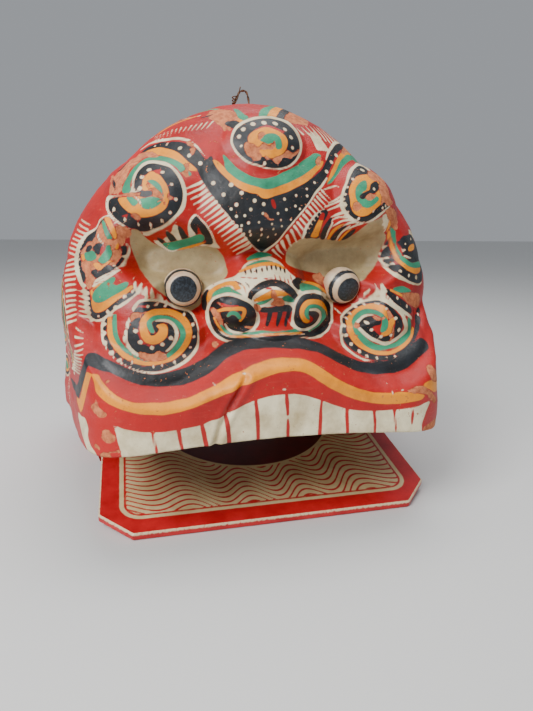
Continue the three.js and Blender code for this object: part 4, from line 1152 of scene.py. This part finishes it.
def painted_head(bearings, levels, point):
    s, t = arc_coordinates(bearings, levels)
    paint = Paint(s + HAND_WOBBLE * lumps(point, 9, 3), t + HAND_WOBBLE * lumps(point, 9, 4), COATS)
    paint.ragged = 1.1 * lumps(point, 7, 31) + 0.9 * lumps(point, 3.2, 32)
    paint.photo = PhotoPlaces()
    side_motif(paint, -1)
    side_motif(paint, 1)
    right_rim(paint)
    for pieces in PATTERN.values():
        lay_pattern(paint, pieces)
    return paint


# Mesh making

def to_metres(points):
    return points * MM + np.array([0, BOARD_FRONT_Y, 0])


def mesh_object(name, points, faces, coats=None, shade_smooth=None):
    mesh = bpy.data.meshes.new(name)
    mesh.from_pydata(to_metres(points).tolist(), [], faces)
    for coat, values in (coats or {}).items():
        attribute = mesh.attributes.new(coat, "FLOAT", "POINT")
        attribute.data.foreach_set("value", values.astype(np.float32))
    mesh.polygons.foreach_set("use_smooth", shade_smooth or [True] * len(mesh.polygons))
    mesh.update()
    piece = bpy.data.objects.new(name, mesh)
    bpy.context.scene.collection.objects.link(piece)
    return piece


def grid_faces(columns, rows, wrap):
    i = np.arange(columns if wrap else columns - 1)
    j = np.arange(rows - 1)
    a = (i[:, None] * rows + j[None, :]).ravel()
    b = (((i + 1) % columns)[:, None] * rows + j[None, :]).ravel()
    return np.stack([a, b, b + 1, a + 1], -1)


FACE_COLUMNS, SIDE_COLUMNS, ROWS = 318, 18, 246


def lumpy(point, moved, normal):
    """Hand-laid paper: wide lumps and small creases."""
    small = 0.7 * lumps(point, 26, 51) + 0.45 * lumps(point, 11, 52) + 0.2 * lumps(point, 5, 53)
    return moved + normal * small[..., None]


def fold_depth(paint):
    """Fold in the paper that runs down the muzzle, left of its middle."""
    nearest = np.full(paint.s.shape, 1e9)
    fold = [paint.photo.place(*pixel) for pixel in FOLD]
    for (x0, y0), (x1, y1) in zip(fold, fold[1:]):
        dx, dy = x1 - x0, y1 - y0
        share = np.clip(((paint.s - x0) * dx + (paint.t - y0) * dy) / (dx * dx + dy * dy), 0, 1)
        nearest = np.minimum(nearest, np.hypot(paint.s - x0 - share * dx, paint.t - y0 - share * dy))
    valley = FOLD_DEPTH * np.exp(-(nearest / FOLD_REACH) ** 2)
    return valley - RIDGE_HEIGHT * np.exp(-((nearest - RIDGE_AWAY) / RIDGE_REACH) ** 2)


def make_head():
    bearings, levels, point, moved = shell_grid(FACE_COLUMNS, SIDE_COLUMNS, ROWS, False)
    normal = outward(bearings, levels)
    moved = lumpy(point, moved, normal)
    paint = painted_head(bearings, levels, point)
    moved = moved - normal * fold_depth(paint)[..., None]
    columns = bearings.shape[0]
    faces = grid_faces(columns, ROWS, True).tolist()
    _, inner = head_point(bearings[:, :1], levels[:, :1], True)
    points = np.concatenate([moved.reshape(-1, 3), inner.reshape(-1, 3)])
    first_inner = columns * ROWS
    for i in range(columns):
        k = (i + 1) % columns
        faces.append([i * ROWS, first_inner + i, first_inner + k, k * ROWS])
    pole = len(points)
    top = moved[:, -1, :].mean(0) + np.array([0, 0, 0.8])
    points = np.concatenate([points, top[None]])
    for i in range(columns):
        k = (i + 1) % columns
        faces.append([i * ROWS + ROWS - 1, k * ROWS + ROWS - 1, pole])
    coats = {}
    for name in COATS:
        rim = np.full(columns, 6.0 if name == "loss" else -6.0)
        crown = np.full(1, -6.0)
        coats[name] = np.concatenate([paint.coats[name].ravel(), rim, crown])
    # The narrow strips where the lower edge jumps in height are left out of the smooth shading
    gaps = np.diff(bearings[:, 0], append=bearings[0, 0] + 2 * math.pi)
    smooth_faces = np.ones(len(faces), bool)
    for i in np.nonzero(gaps < math.radians(0.2))[0]:
        smooth_faces[i * (ROWS - 1):(i + 1) * (ROWS - 1)] = False
    return mesh_object("lion_head", points, faces, coats, smooth_faces.tolist())


LINING_FACE_COLUMNS, LINING_SIDE_COLUMNS, LINING_ROWS = 60, 8, 44


def make_lining():
    *_, moved = shell_grid(LINING_FACE_COLUMNS, LINING_SIDE_COLUMNS, LINING_ROWS, True)
    columns = moved.shape[0]
    faces = grid_faces(columns, LINING_ROWS, True)[:, ::-1].tolist()
    points = moved.reshape(-1, 3)
    pole = len(points)
    points = np.concatenate([points, (moved[:, -1, :].mean(0))[None]])
    for i in range(columns):
        k = (i + 1) % columns
        faces.append([pole, (k + 1) * LINING_ROWS - 1, (i + 1) * LINING_ROWS - 1])
    return mesh_object("paper_lining", points, faces)


# Eyes

EYE = dict(x=74.6, y=34, z=222.8, radius=17.3, pupil=11.5)
PUPIL_RISE = 1.2


def make_eye(name, side, aim):
    """Turned ball whose flat painted pupil looks along aim."""
    rings, around = 40, 64
    face_angle = math.asin(EYE["pupil"] / EYE["radius"])
    direction = Vector(aim).normalized()
    turn = Vector((0, 0, 1)).rotation_difference(direction)
    points, distance, across = [], [], []
    for ring in range(rings + 1):
        angle = math.pi * ring / rings
        for i in range(around):
            bearing = 2 * math.pi * i / around
            radial = EYE["radius"] * math.sin(angle)
            height = EYE["radius"] * math.cos(angle)
            if angle < face_angle:
                height = EYE["radius"] * math.cos(face_angle) + PUPIL_RISE * (1 - (angle / face_angle) ** 2)
            spot = Vector((radial * math.cos(bearing), radial * math.sin(bearing), height))
            points.append(turn @ spot + Vector((side * EYE["x"], EYE["y"], EYE["z"])))
            distance.append(EYE["pupil"] - radial if angle < math.pi / 2 else -20)
            across.append(height)
    faces = []
    for ring in range(rings):
        for i in range(around):
            k = (i + 1) % around
            low, high = ring * around, (ring + 1) * around
            faces.append([low + i, high + i, high + k, low + k])
    coats = {"pupil": np.array(distance), "height": np.array(across)}
    return mesh_object(name, np.array([list(p) for p in points]), faces, coats)


# Jaw board

BOARD_WIDTH = 334
BOARD_DEPTH = 322
BOARD_THICKNESS = 7.7
BOARD_CORNER = 31
BOARD_TILT = math.radians(10.97)
DISC = dict(depth=188, radius=104)
WAVE_SPACING = 8.0
WAVE_LINE_WIDTH = 2.5


def board_outline(inset):
    half = BOARD_WIDTH / 2 - inset
    near, far = inset, BOARD_DEPTH - inset
    cut = BOARD_CORNER - inset * (2 - math.sqrt(2))
    return [(-half + cut, near), (half - cut, near), (half, near + cut), (half, far - cut),
            (half - cut, far), (-half + cut, far), (-half, far - cut), (-half, near + cut)]


def tilt_board(points):
    cos, sin = math.cos(BOARD_TILT), math.sin(BOARD_TILT)
    x = points[:, 0] + BOARD_SIDE_SHIFT
    y, z = points[:, 1], points[:, 2]
    return np.stack([x, y * cos - z * sin, y * sin + z * cos], -1)


def board_waves(u, v):
    """Cream field with red wave lines, a maroon disc, a cream rule and a red border."""
    paint = Paint(u, v, ("cream", "disc"))
    rule = rounded_box(u, v, 19, 22)
    paint.lay("cream", rule)
    paint.bare(rule - 4.2)
    paint.lay("cream", rule - 6.4)
    field = rule - 6.4
    waves = wave_lines(u, v)
    paint.bare(np.minimum(WAVE_LINE_WIDTH / 2 - waves, field + 0.5))
    disc = DISC["radius"] - np.hypot(u, v - DISC["depth"])
    paint.lay("cream", disc + 3.0)
    paint.lay("disc", disc)
    return paint


def rounded_box(u, v, inset, radius):
    half = BOARD_WIDTH / 2 - inset - radius
    depth = BOARD_DEPTH / 2 - inset - radius
    du = np.abs(u) - half
    dv = np.abs(v - BOARD_DEPTH / 2) - depth
    outside = np.hypot(np.clip(du, 0, None), np.clip(dv, 0, None))
    return radius - outside - np.minimum(np.maximum(du, dv), 0)


def wave_lines(u, v):
    """Distance to the nearest of the rolling wave lines, which run one behind another."""
    roll = 9.5 * np.sin(u / 12.5 + 0.018 * v + 2.4 * np.sin(u / 70))
    swell = 12 * np.sin((u + 0.5 * v) / 48 + 1.1)
    height = v + roll + swell
    return np.abs((height / WAVE_SPACING) % 1 - 0.5) * WAVE_SPACING


def make_board():
    nu, nv = 236, 228
    u = np.linspace(-BOARD_WIDTH / 2, BOARD_WIDTH / 2, nu)
    v = np.linspace(0, BOARD_DEPTH, nv)
    grid_u, grid_v = np.meshgrid(u, v, indexing="ij")
    bevel = 1.1
    # The grid's corners are pulled in onto the cut corners
    half, depth = BOARD_WIDTH / 2 - bevel, BOARD_DEPTH / 2 - bevel
    cu = grid_u * (half / (BOARD_WIDTH / 2))
    cv = (grid_v - BOARD_DEPTH / 2) * (depth / (BOARD_DEPTH / 2))
    reach = np.abs(cu) + np.abs(cv)
    most = half + depth - BOARD_CORNER + 0.6
    over = np.clip(reach - most, 0, None) / 2
    shrink_u = np.sign(cu) * over * (np.abs(cu) > half - BOARD_CORNER) * 1.0
    shrink_v = np.sign(cv) * over * (np.abs(cv) > depth - BOARD_CORNER) * 1.0
    top_u, top_v = cu - shrink_u, cv - shrink_v + BOARD_DEPTH / 2
    flat = np.stack([top_u, top_v, np.full(top_u.shape, BOARD_THICKNESS)], -1).reshape(-1, 3)
    paint = board_waves(top_u, top_v)
    faces = grid_faces(nu, nv, False).tolist()
    ring = [i * nv for i in range(nu)] + [(nu - 1) * nv + j for j in range(1, nv)]
    ring += [i * nv + nv - 1 for i in range(nu - 2, -1, -1)] + [j for j in range(nv - 2, 0, -1)]
    points = [flat]
    count = len(flat)
    edge = flat[ring]
    away = edge[:, :2] - np.array([0, BOARD_DEPTH / 2])
    level_rings = [(bevel, BOARD_THICKNESS - bevel), (bevel, bevel), (0, 0)]
    previous = ring
    outline_scale = [np.array([(half + b) / half, (depth + b) / depth]) for b, _ in level_rings]
    for (_, height), scale in zip(level_rings, outline_scale):
        moved = away * scale + np.array([0, BOARD_DEPTH / 2])
        points.append(np.concatenate([moved, np.full((len(ring), 1), height)], -1))
        current = list(range(count, count + len(ring)))
        count += len(ring)
        for i in range(len(ring)):
            k = (i + 1) % len(ring)
            faces.append([previous[i], current[i], current[k], previous[k]])
        previous = current
    faces.append(previous)
    all_points = tilt_board(np.concatenate(points))
    rest = np.full(count - len(flat), -8.0)
    coats = {name: np.concatenate([paint.coats[name].ravel(), rest]) for name in ("cream", "disc")}
    arris = np.zeros(count)
    arris[ring] = 1.0
    arris[len(flat):len(flat) + len(ring)] = 1.0
    near_edge = np.clip(polygon_distance(top_u, top_v, board_outline(0)).ravel(), 0, 8)
    arris[:len(flat)] = np.maximum(arris[:len(flat)], np.clip(1 - near_edge / 2.6, 0, 1))
    coats["arris"] = arris
    return mesh_object("wave_board", all_points, faces, coats, [False] * len(faces))


# Hanging wire

WIRE = dict(radius=1.2, y=150, feet_apart=19, height=27, sink=4)
WIRE_CROWN = CROWN_HEIGHT - 2


def wire_strand(route, radius, twist=0.0, turns=0.0, phase=0.0):
    """Wire along a route, which may wind round it as one of two strands."""
    line = rounded_3d(route, 10)
    count = len(line)
    sides = 8
    points, faces = [], []
    normal = Vector((0.3, 1, 0.2)).normalized()
    for i, place in enumerate(line):
        ahead = (line[min(i + 1, count - 1)] - line[max(i - 1, 0)]).normalized()
        normal = (normal - ahead * normal.dot(ahead)).normalized()
        other = ahead.cross(normal)
        angle = phase + 2 * math.pi * turns * i / (count - 1)
        centre = place + (normal * math.cos(angle) + other * math.sin(angle)) * twist
        for k in range(sides):
            turn = 2 * math.pi * k / sides
            points.append(centre + (normal * math.cos(turn) + other * math.sin(turn)) * radius)
    for i in range(count - 1):
        for k in range(sides):
            n = (k + 1) % sides
            faces.append([i * sides + k, i * sides + n, (i + 1) * sides + n, (i + 1) * sides + k])
    faces.append(list(range(sides))[::-1])
    faces.append([(count - 1) * sides + k for k in range(sides)])
    return np.array([list(p) for p in points]), faces


def rounded_3d(route, steps):
    line = []
    count = len(route)
    for i in range(count - 1):
        a, b, c, d = (Vector(route[min(max(i + k - 1, 0), count - 1)]) for k in range(4))
        for step in range(steps):
            u = step / steps
            line.append(0.5 * (2 * b + (c - a) * u + (2 * a - 5 * b + 4 * c - d) * u * u
                               + (3 * b - a - 3 * c + d) * u ** 3))
    line.append(Vector(route[-1]))
    return line


def make_wire():
    half = WIRE["feet_apart"] / 2
    foot = WIRE_CROWN - WIRE["sink"]
    top = WIRE_CROWN + WIRE["height"]
    y = WIRE["y"]
    loop = [(-half, y, foot), (-half + 0.5, y, WIRE_CROWN + 4.7), (-half + 5, y - 1, WIRE_CROWN + 15),
            (0, y - 1, top - 5), (half - 3, y, top - 5), (half, y, WIRE_CROWN + 10.7), (half - 1, y, foot)]
    tail = [(-half + 1, y, foot + 2), (-half + 2.2, y - 1, WIRE_CROWN + 7),
            (-half + 6.5, y - 2.2, WIRE_CROWN + 15.5),
            (-half + 9.5, y - 1.5, top - 0.5)]
    knot = [(-half + 3 + 1.9 * math.cos(a), y - 1 + 1.7 * math.sin(a), WIRE_CROWN + 9 + 0.45 * a)
            for a in np.linspace(0, 6 * math.pi, 28)]
    strands = [wire_strand(loop, 0.75, 0.5, 5, 0), wire_strand(loop, 0.65, 0.55, 5, math.pi),
               wire_strand(tail, 0.6), wire_strand(knot, 0.55)]
    points, faces, count = [], [], 0
    for strand_points, strand_faces in strands:
        points.append(strand_points)
        faces += [[index + count for index in face] for face in strand_faces]
        count += len(strand_points)
    return mesh_object("rusty_wire", np.concatenate(points), faces)


# Materials

def linear(hex_value):
    """Linear colour of an sRGB hex value."""
    channels = [int(hex_value[i:i + 2], 16) / 255 for i in (1, 3, 5)]
    return [c / 12.92 if c <= 0.04045 else ((c + 0.055) / 1.055) ** 2.4 for c in channels] + [1.0]


def new_material(name):
    material = bpy.data.materials.new(name)
    material.use_nodes = True
    tree = material.node_tree
    tree.nodes.clear()
    output = tree.nodes.new("ShaderNodeOutputMaterial")
    shader = tree.nodes.new("ShaderNodeBsdfPrincipled")
    tree.links.new(shader.outputs[0], output.inputs[0])
    return material, tree, shader


def node(tree, kind, inputs, output=0, **settings):
    """Adds a node with its settings and links, and gives what it puts out."""
    made = tree.nodes.new(kind)
    for key, value in settings.items():
        setattr(made, key, value)
    for key, value in inputs.items():
        if isinstance(value, bpy.types.NodeSocket):
            tree.links.new(value, made.inputs[key])
        else:
            made.inputs[key].default_value = value
    return made.outputs[output]


MATH, MAP_RANGE, NOISE = "ShaderNodeMath", "ShaderNodeMapRange", "ShaderNodeTexNoise"
MIX, COLOUR = "ShaderNodeMix", {"output": 2, "data_type": "RGBA"}


def grain(place, size_mm, detail=2.0, roughness=0.5):
    """Settings of a noise whose features are about size_mm wide."""
    return {"Vector": place, "Scale": 1 / MM / size_mm / 2, "Detail": detail, "Roughness": roughness}


def coat_mask(tree, name, ragged, width, soft=0.35):
    """Share of a coat from its distance in mm, with a brushed, uneven edge."""
    distance = node(tree, "ShaderNodeAttribute", {}, "Fac", attribute_name=name)
    shift = node(tree, MATH, {0: ragged, 1: 0.5}, operation="SUBTRACT")
    shift = node(tree, MATH, {0: shift, 1: width}, operation="MULTIPLY")
    moved = node(tree, MATH, {0: distance, 1: shift}, operation="ADD")
    return node(tree, MAP_RANGE, {0: moved, 1: -soft, 2: soft})


# Colours of the paint, its dirt and the paper below; the socket colours are cream darkened as painted shade
RED, RED_DARK, RED_PALE = "#BE0A05", "#7C0402", "#D85042"
INK, INK_WORN = "#0A0C0F", "#23282E"
OCHRE, OCHRE_DARK = "#F09200", "#BC6800"
JADE, JADE_DARK = "#2E9A70", "#1A6448"
# The socket cream is the face cream darkened as painted shade for the deep eye sockets, and its dirty colour
# is that painted shade with dirt
CREAM, CREAM_DIRTY = "#EFE2BC", "#AE986A"
SOCKET_CREAM_SHADED, SOCKET_SHADE_AND_DIRT = "#BFAC80", "#87704A"
PAPER_BARE, PAPER_DARK = "#DC8656", "#9C4E2E"
GRIME, SCUFF = "#3A2418", "#D9A48C"


def painted_paper():
    """Tempera brushed over layered paper and varnished: flat bright colours with streaks, chips and
    grime, half glossy on a bumpy ground, and matt where the paint is gone."""
    material, tree, shader = new_material("painted_paper")
    place = node(tree, "ShaderNodeTexCoord", {}, "Object")
    wide = node(tree, NOISE, grain(place, 60, 3))
    mid = node(tree, NOISE, grain(place, 12, 4, 0.6))
    fine = node(tree, NOISE, grain(place, 2.2, 4, 0.65))
    streak_place = node(tree, "ShaderNodeMapping", {"Vector": place, "Scale": (1.0, 1.0, 5.0)})
    streak = node(tree, NOISE, grain(streak_place, 9, 5, 0.7))
    ragged = node(tree, NOISE, grain(place, 3.4, 3, 0.6))

    share = node(tree, MAP_RANGE, {0: wide, 1: 0.3, 2: 0.72})
    ground = node(tree, MIX, {0: share, 6: linear(RED_DARK), 7: linear(RED)}, **COLOUR)
    share = node(tree, MAP_RANGE, {0: mid, 1: 0.35, 2: 0.8})
    ground = node(tree, MIX, {0: share, 6: ground, 7: linear(RED)}, **COLOUR)
    pale = node(tree, MAP_RANGE, {0: streak, 1: 0.56, 2: 0.76, 4: 0.3})
    ground = node(tree, MIX, {0: pale, 6: ground, 7: linear(RED_PALE)}, **COLOUR)

    # Each coat: name, colour, its dirty colour, how ragged its edge is in mm, and the spread of dirt
    # The socket coat's colours are cream paint darkened as painted shade, with dirt over it
    coats = [("socket", SOCKET_CREAM_SHADED, SOCKET_SHADE_AND_DIRT, 1.0, 0.25, 0.7),
             ("orange", OCHRE, OCHRE_DARK, 0.9, 0.2, 0.5),
             ("green", JADE, JADE_DARK, 0.9, 0.2, 0.62), ("black", INK, INK_WORN, 0.9, 0.2, 0.6),
             ("cream", CREAM, CREAM_DIRTY, 0.7, 0.22, 0.6)]
    colour = ground
    for name, bright, dirty, width, low, high in coats:
        share = node(tree, MAP_RANGE, {0: mid, 1: low, 2: high})
        coat = node(tree, MIX, {0: share, 6: linear(dirty), 7: linear(bright)}, **COLOUR)
        colour = node(tree, MIX, {0: coat_mask(tree, name, ragged, width), 6: colour, 7: coat}, **COLOUR)

    flecks = node(tree, MAP_RANGE, {0: node(tree, NOISE, grain(place, 1.5, 3, 0.6)), 1: 0.66, 2: 0.69})
    patches = node(tree, MAP_RANGE, {0: mid, 1: 0.48, 2: 0.6})
    chips = node(tree, MATH, {0: flecks, 1: patches}, operation="MULTIPLY")
    loss = node(tree, MATH, {0: coat_mask(tree, "loss", fine, 3.0), 1: chips}, operation="MAXIMUM")
    share = node(tree, MAP_RANGE, {0: fine, 1: 0.3, 2: 0.7})
    bare = node(tree, MIX, {0: share, 6: linear(PAPER_DARK), 7: linear(PAPER_BARE)}, **COLOUR)
    colour = node(tree, MIX, {0: loss, 6: colour, 7: bare}, **COLOUR)
    dirt = node(tree, NOISE, grain(place, 1.1, 5, 0.7))
    dirt = node(tree, MAP_RANGE, {0: dirt, 1: 0.6, 2: 0.75, 4: 0.35})
    colour = node(tree, MIX, {0: dirt, 6: colour, 7: linear(GRIME)}, **COLOUR)
    rubbed = node(tree, NOISE, grain(streak_place, 3, 6, 0.75))
    rubbed = node(tree, MAP_RANGE, {0: rubbed, 1: 0.63, 2: 0.72, 4: 0.3})
    colour = node(tree, MIX, {0: rubbed, 6: colour, 7: linear(SCUFF)}, **COLOUR)
    tree.links.new(colour, shader.inputs["Base Color"])

    rough = node(tree, MATH, {0: mid, 1: 0.25, 2: 0.36}, operation="MULTIPLY_ADD")
    rough = node(tree, MATH, {0: loss, 1: 0.4, 2: rough}, operation="MULTIPLY_ADD", use_clamp=True)
    tree.links.new(rough, shader.inputs["Roughness"])
    height = node(tree, MATH, {0: mid, 1: 0.5}, operation="MULTIPLY")
    height = node(tree, MATH, {0: fine, 1: 0.25, 2: height}, operation="MULTIPLY_ADD")
    height = node(tree, MATH, {0: loss, 1: -0.35, 2: height}, operation="MULTIPLY_ADD")
    bump = node(tree, "ShaderNodeBump", {"Strength": 0.8, "Distance": 0.0016, "Height": height})
    tree.links.new(bump, shader.inputs["Normal"])
    shader.inputs["IOR"].default_value = 1.5
    return material


def bare_paper():
    """Layered kraft and newsprint paper, pasted and left unpainted: matt, fibrous, with paste stains."""
    material, tree, shader = new_material("bare_paper")
    place = node(tree, "ShaderNodeTexCoord", {}, "Object")
    stains = node(tree, NOISE, grain(place, 30, 4))
    fibre = node(tree, NOISE, grain(place, 1.5, 4, 0.7))
    share = node(tree, MAP_RANGE, {0: stains, 1: 0.3, 2: 0.7})
    colour = node(tree, MIX, {0: share, 6: linear("#8C6F4C"), 7: linear("#BDA279")}, **COLOUR)
    share = node(tree, MAP_RANGE, {0: fibre, 1: 0.4, 2: 0.7, 4: 0.35})
    colour = node(tree, MIX, {0: share, 6: colour, 7: linear("#6E553A")}, **COLOUR)
    tree.links.new(colour, shader.inputs["Base Color"])
    shader.inputs["Roughness"].default_value = 0.85
    bump = node(tree, "ShaderNodeBump", {"Strength": 0.5, "Distance": 0.001, "Height": fibre})
    tree.links.new(bump, shader.inputs["Normal"])
    return material


def painted_eye():
    """Turned wood under aged gloss paint: crackled cream, a black pupil and a ring round it that shine."""
    material, tree, shader = new_material("eye_paint")
    place = node(tree, "ShaderNodeTexCoord", {}, "Object")
    ragged = node(tree, NOISE, grain(place, 2.6, 3, 0.6))
    fine = node(tree, NOISE, grain(place, 1.0, 4, 0.7))
    dirt = node(tree, NOISE, grain(place, 9, 3))
    pupil = node(tree, "ShaderNodeAttribute", {}, "Fac", attribute_name="pupil")
    shift = node(tree, MATH, {0: ragged, 1: 0.5}, operation="SUBTRACT")
    moved = node(tree, MATH, {0: shift, 1: 1.2, 2: pupil}, operation="MULTIPLY_ADD")
    share = node(tree, MAP_RANGE, {0: dirt, 1: 0.35, 2: 0.7})
    cream = node(tree, MIX, {0: share, 6: linear("#C9A27C"), 7: linear("#EADBBE")}, **COLOUR)
    disc = node(tree, MAP_RANGE, {0: moved, 1: -0.3, 2: 0.3})
    ring_outside = node(tree, MAP_RANGE, {0: moved, 1: -5.3, 2: -4.9})
    ring_inside = node(tree, MAP_RANGE, {0: moved, 1: -3.2, 2: -3.6})
    ring = node(tree, MATH, {0: ring_outside, 1: ring_inside}, operation="MULTIPLY")
    dark = node(tree, MATH, {0: disc, 1: ring}, operation="MAXIMUM")
    share = node(tree, MAP_RANGE, {0: fine, 1: 0.45, 2: 0.7})
    ink = node(tree, MIX, {0: share, 6: linear("#16191D"), 7: linear("#39424C")}, **COLOUR)
    colour = node(tree, MIX, {0: dark, 6: cream, 7: ink}, **COLOUR)
    tree.links.new(colour, shader.inputs["Base Color"])
    shader.inputs["Roughness"].default_value = 0.32
    bump = node(tree, "ShaderNodeBump", {"Strength": 0.35, "Distance": 0.0006, "Height": fine})
    tree.links.new(bump, shader.inputs["Normal"])
    return material


def painted_board():
    """Planed softwood under gloss oil paint: an even sheen, rubbed pale along the arrises."""
    material, tree, shader = new_material("board_paint")
    place = node(tree, "ShaderNodeTexCoord", {}, "Object")
    ragged = node(tree, NOISE, grain(place, 3.0, 3, 0.6))
    mid = node(tree, NOISE, grain(place, 14, 4, 0.6))
    fine = node(tree, NOISE, grain(place, 1.4, 4, 0.7))
    share = node(tree, MAP_RANGE, {0: mid, 1: 0.3, 2: 0.7})
    red = node(tree, MIX, {0: share, 6: linear("#AC1016"), 7: linear("#D42428")}, **COLOUR)
    maroon = node(tree, MIX, {0: share, 6: linear("#4A060E"), 7: linear("#660A12")}, **COLOUR)
    share = node(tree, MAP_RANGE, {0: mid, 1: 0.25, 2: 0.65})
    cream = node(tree, MIX, {0: share, 6: linear("#C9AC78"), 7: linear("#E6D2A0")}, **COLOUR)
    colour = node(tree, MIX, {0: coat_mask(tree, "cream", ragged, 0.9, 0.4), 6: red, 7: cream}, **COLOUR)
    colour = node(tree, MIX, {0: coat_mask(tree, "disc", ragged, 0.5), 6: colour, 7: maroon}, **COLOUR)
    arris = node(tree, "ShaderNodeAttribute", {}, "Fac", attribute_name="arris")
    wear = node(tree, MATH, {0: fine, 1: 0.35}, operation="ADD")
    wear = node(tree, MATH, {0: arris, 1: wear}, operation="MULTIPLY")
    wear = node(tree, MAP_RANGE, {0: wear, 1: 0.62, 2: 0.8})
    colour = node(tree, MIX, {0: wear, 6: colour, 7: linear("#E0C9A0")}, **COLOUR)
    tree.links.new(colour, shader.inputs["Base Color"])
    shader.inputs["Roughness"].default_value = 0.36
    bump = node(tree, "ShaderNodeBump", {"Strength": 0.2, "Distance": 0.0006, "Height": fine})
    tree.links.new(bump, shader.inputs["Normal"])
    return material


def rusted_wire():
    """Drawn soft-iron wire left to rust: rough, dark brown with orange patches."""
    material, tree, shader = new_material("rusted_wire")
    place = node(tree, "ShaderNodeTexCoord", {}, "Object")
    rust = node(tree, NOISE, grain(place, 2.0, 4, 0.7))
    share = node(tree, MAP_RANGE, {0: rust, 1: 0.35, 2: 0.65})
    colour = node(tree, MIX, {0: share, 6: linear("#3B2A20"), 7: linear("#8A6242")}, **COLOUR)
    tree.links.new(colour, shader.inputs["Base Color"])
    shader.inputs["Metallic"].default_value = 0.3
    shader.inputs["Roughness"].default_value = 0.75
    return material


def studio_floor():
    """Matt pale card."""
    material, tree, shader = new_material("pale_floor")
    shader.inputs["Base Color"].default_value = linear("#D8D8D6")
    shader.inputs["Roughness"].default_value = 0.7
    return material


# The pieces

def dress(piece, material, slot, *nodes):
    piece.data.materials.append(material)
    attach(piece, "root")
    if nodes:
        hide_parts(*nodes)


dress(make_head(), painted_paper(), "lacquered_paper", "head_shell")
dress(make_lining(), bare_paper(), "lacquered_paper")
eye_material = painted_eye()
dress(make_eye("painted_eye_left", -1, (-0.05, -1.0, 0.04)), eye_material, "painted_eye", "eye_left")
dress(make_eye("painted_eye_right", 1, (0.2, -0.93, -0.22)), eye_material, "painted_eye", "eye_right")
dress(make_board(), painted_board(), "painted_board", "jaw_board")
dress(make_wire(), rusted_wire(), "rusty_wire", "hanging_wire")


# Stage and light

def make_stage():
    mesh = bpy.data.meshes.new("studio_floor")
    reach = 8.0
    mesh.from_pydata([(-reach, -reach, 0), (reach, -reach, 0), (reach, reach, 0), (-reach, reach, 0)], [],
                     [[0, 1, 2, 3]])
    floor = bpy.data.objects.new("studio_floor", mesh)
    bpy.context.scene.collection.objects.link(floor)
    mesh.materials.append(studio_floor())


def area_light(name, place, target, size, watts):
    data = bpy.data.lights.new(name, "AREA")
    data.size = size
    data.energy = watts
    light = bpy.data.objects.new(name, data)
    light.location = place
    light.rotation_euler = (Vector(target) - Vector(place)).to_track_quat("-Z", "Y").to_euler()
    bpy.context.scene.collection.objects.link(light)


HEAD_MIDDLE = (0, 0, 0.2)
ROOM_LIGHT = 0.42
WINDOW_WATTS, TOP_WATTS = 52, 20


def make_light():
    world = bpy.data.worlds.new("soft_studio")
    world.use_nodes = True
    background = world.node_tree.nodes["Background"]
    background.inputs[0].default_value = linear("#E6EBF2")
    background.inputs[1].default_value = ROOM_LIGHT
    bpy.context.scene.world = world
    area_light("window_left", (-1.2, -1.1, 1.5), HEAD_MIDDLE, 0.9, WINDOW_WATTS)
    area_light("soft_top", (0.2, 0.1, 1.9), HEAD_MIDDLE, 1.2, TOP_WATTS)


make_stage()
make_light()
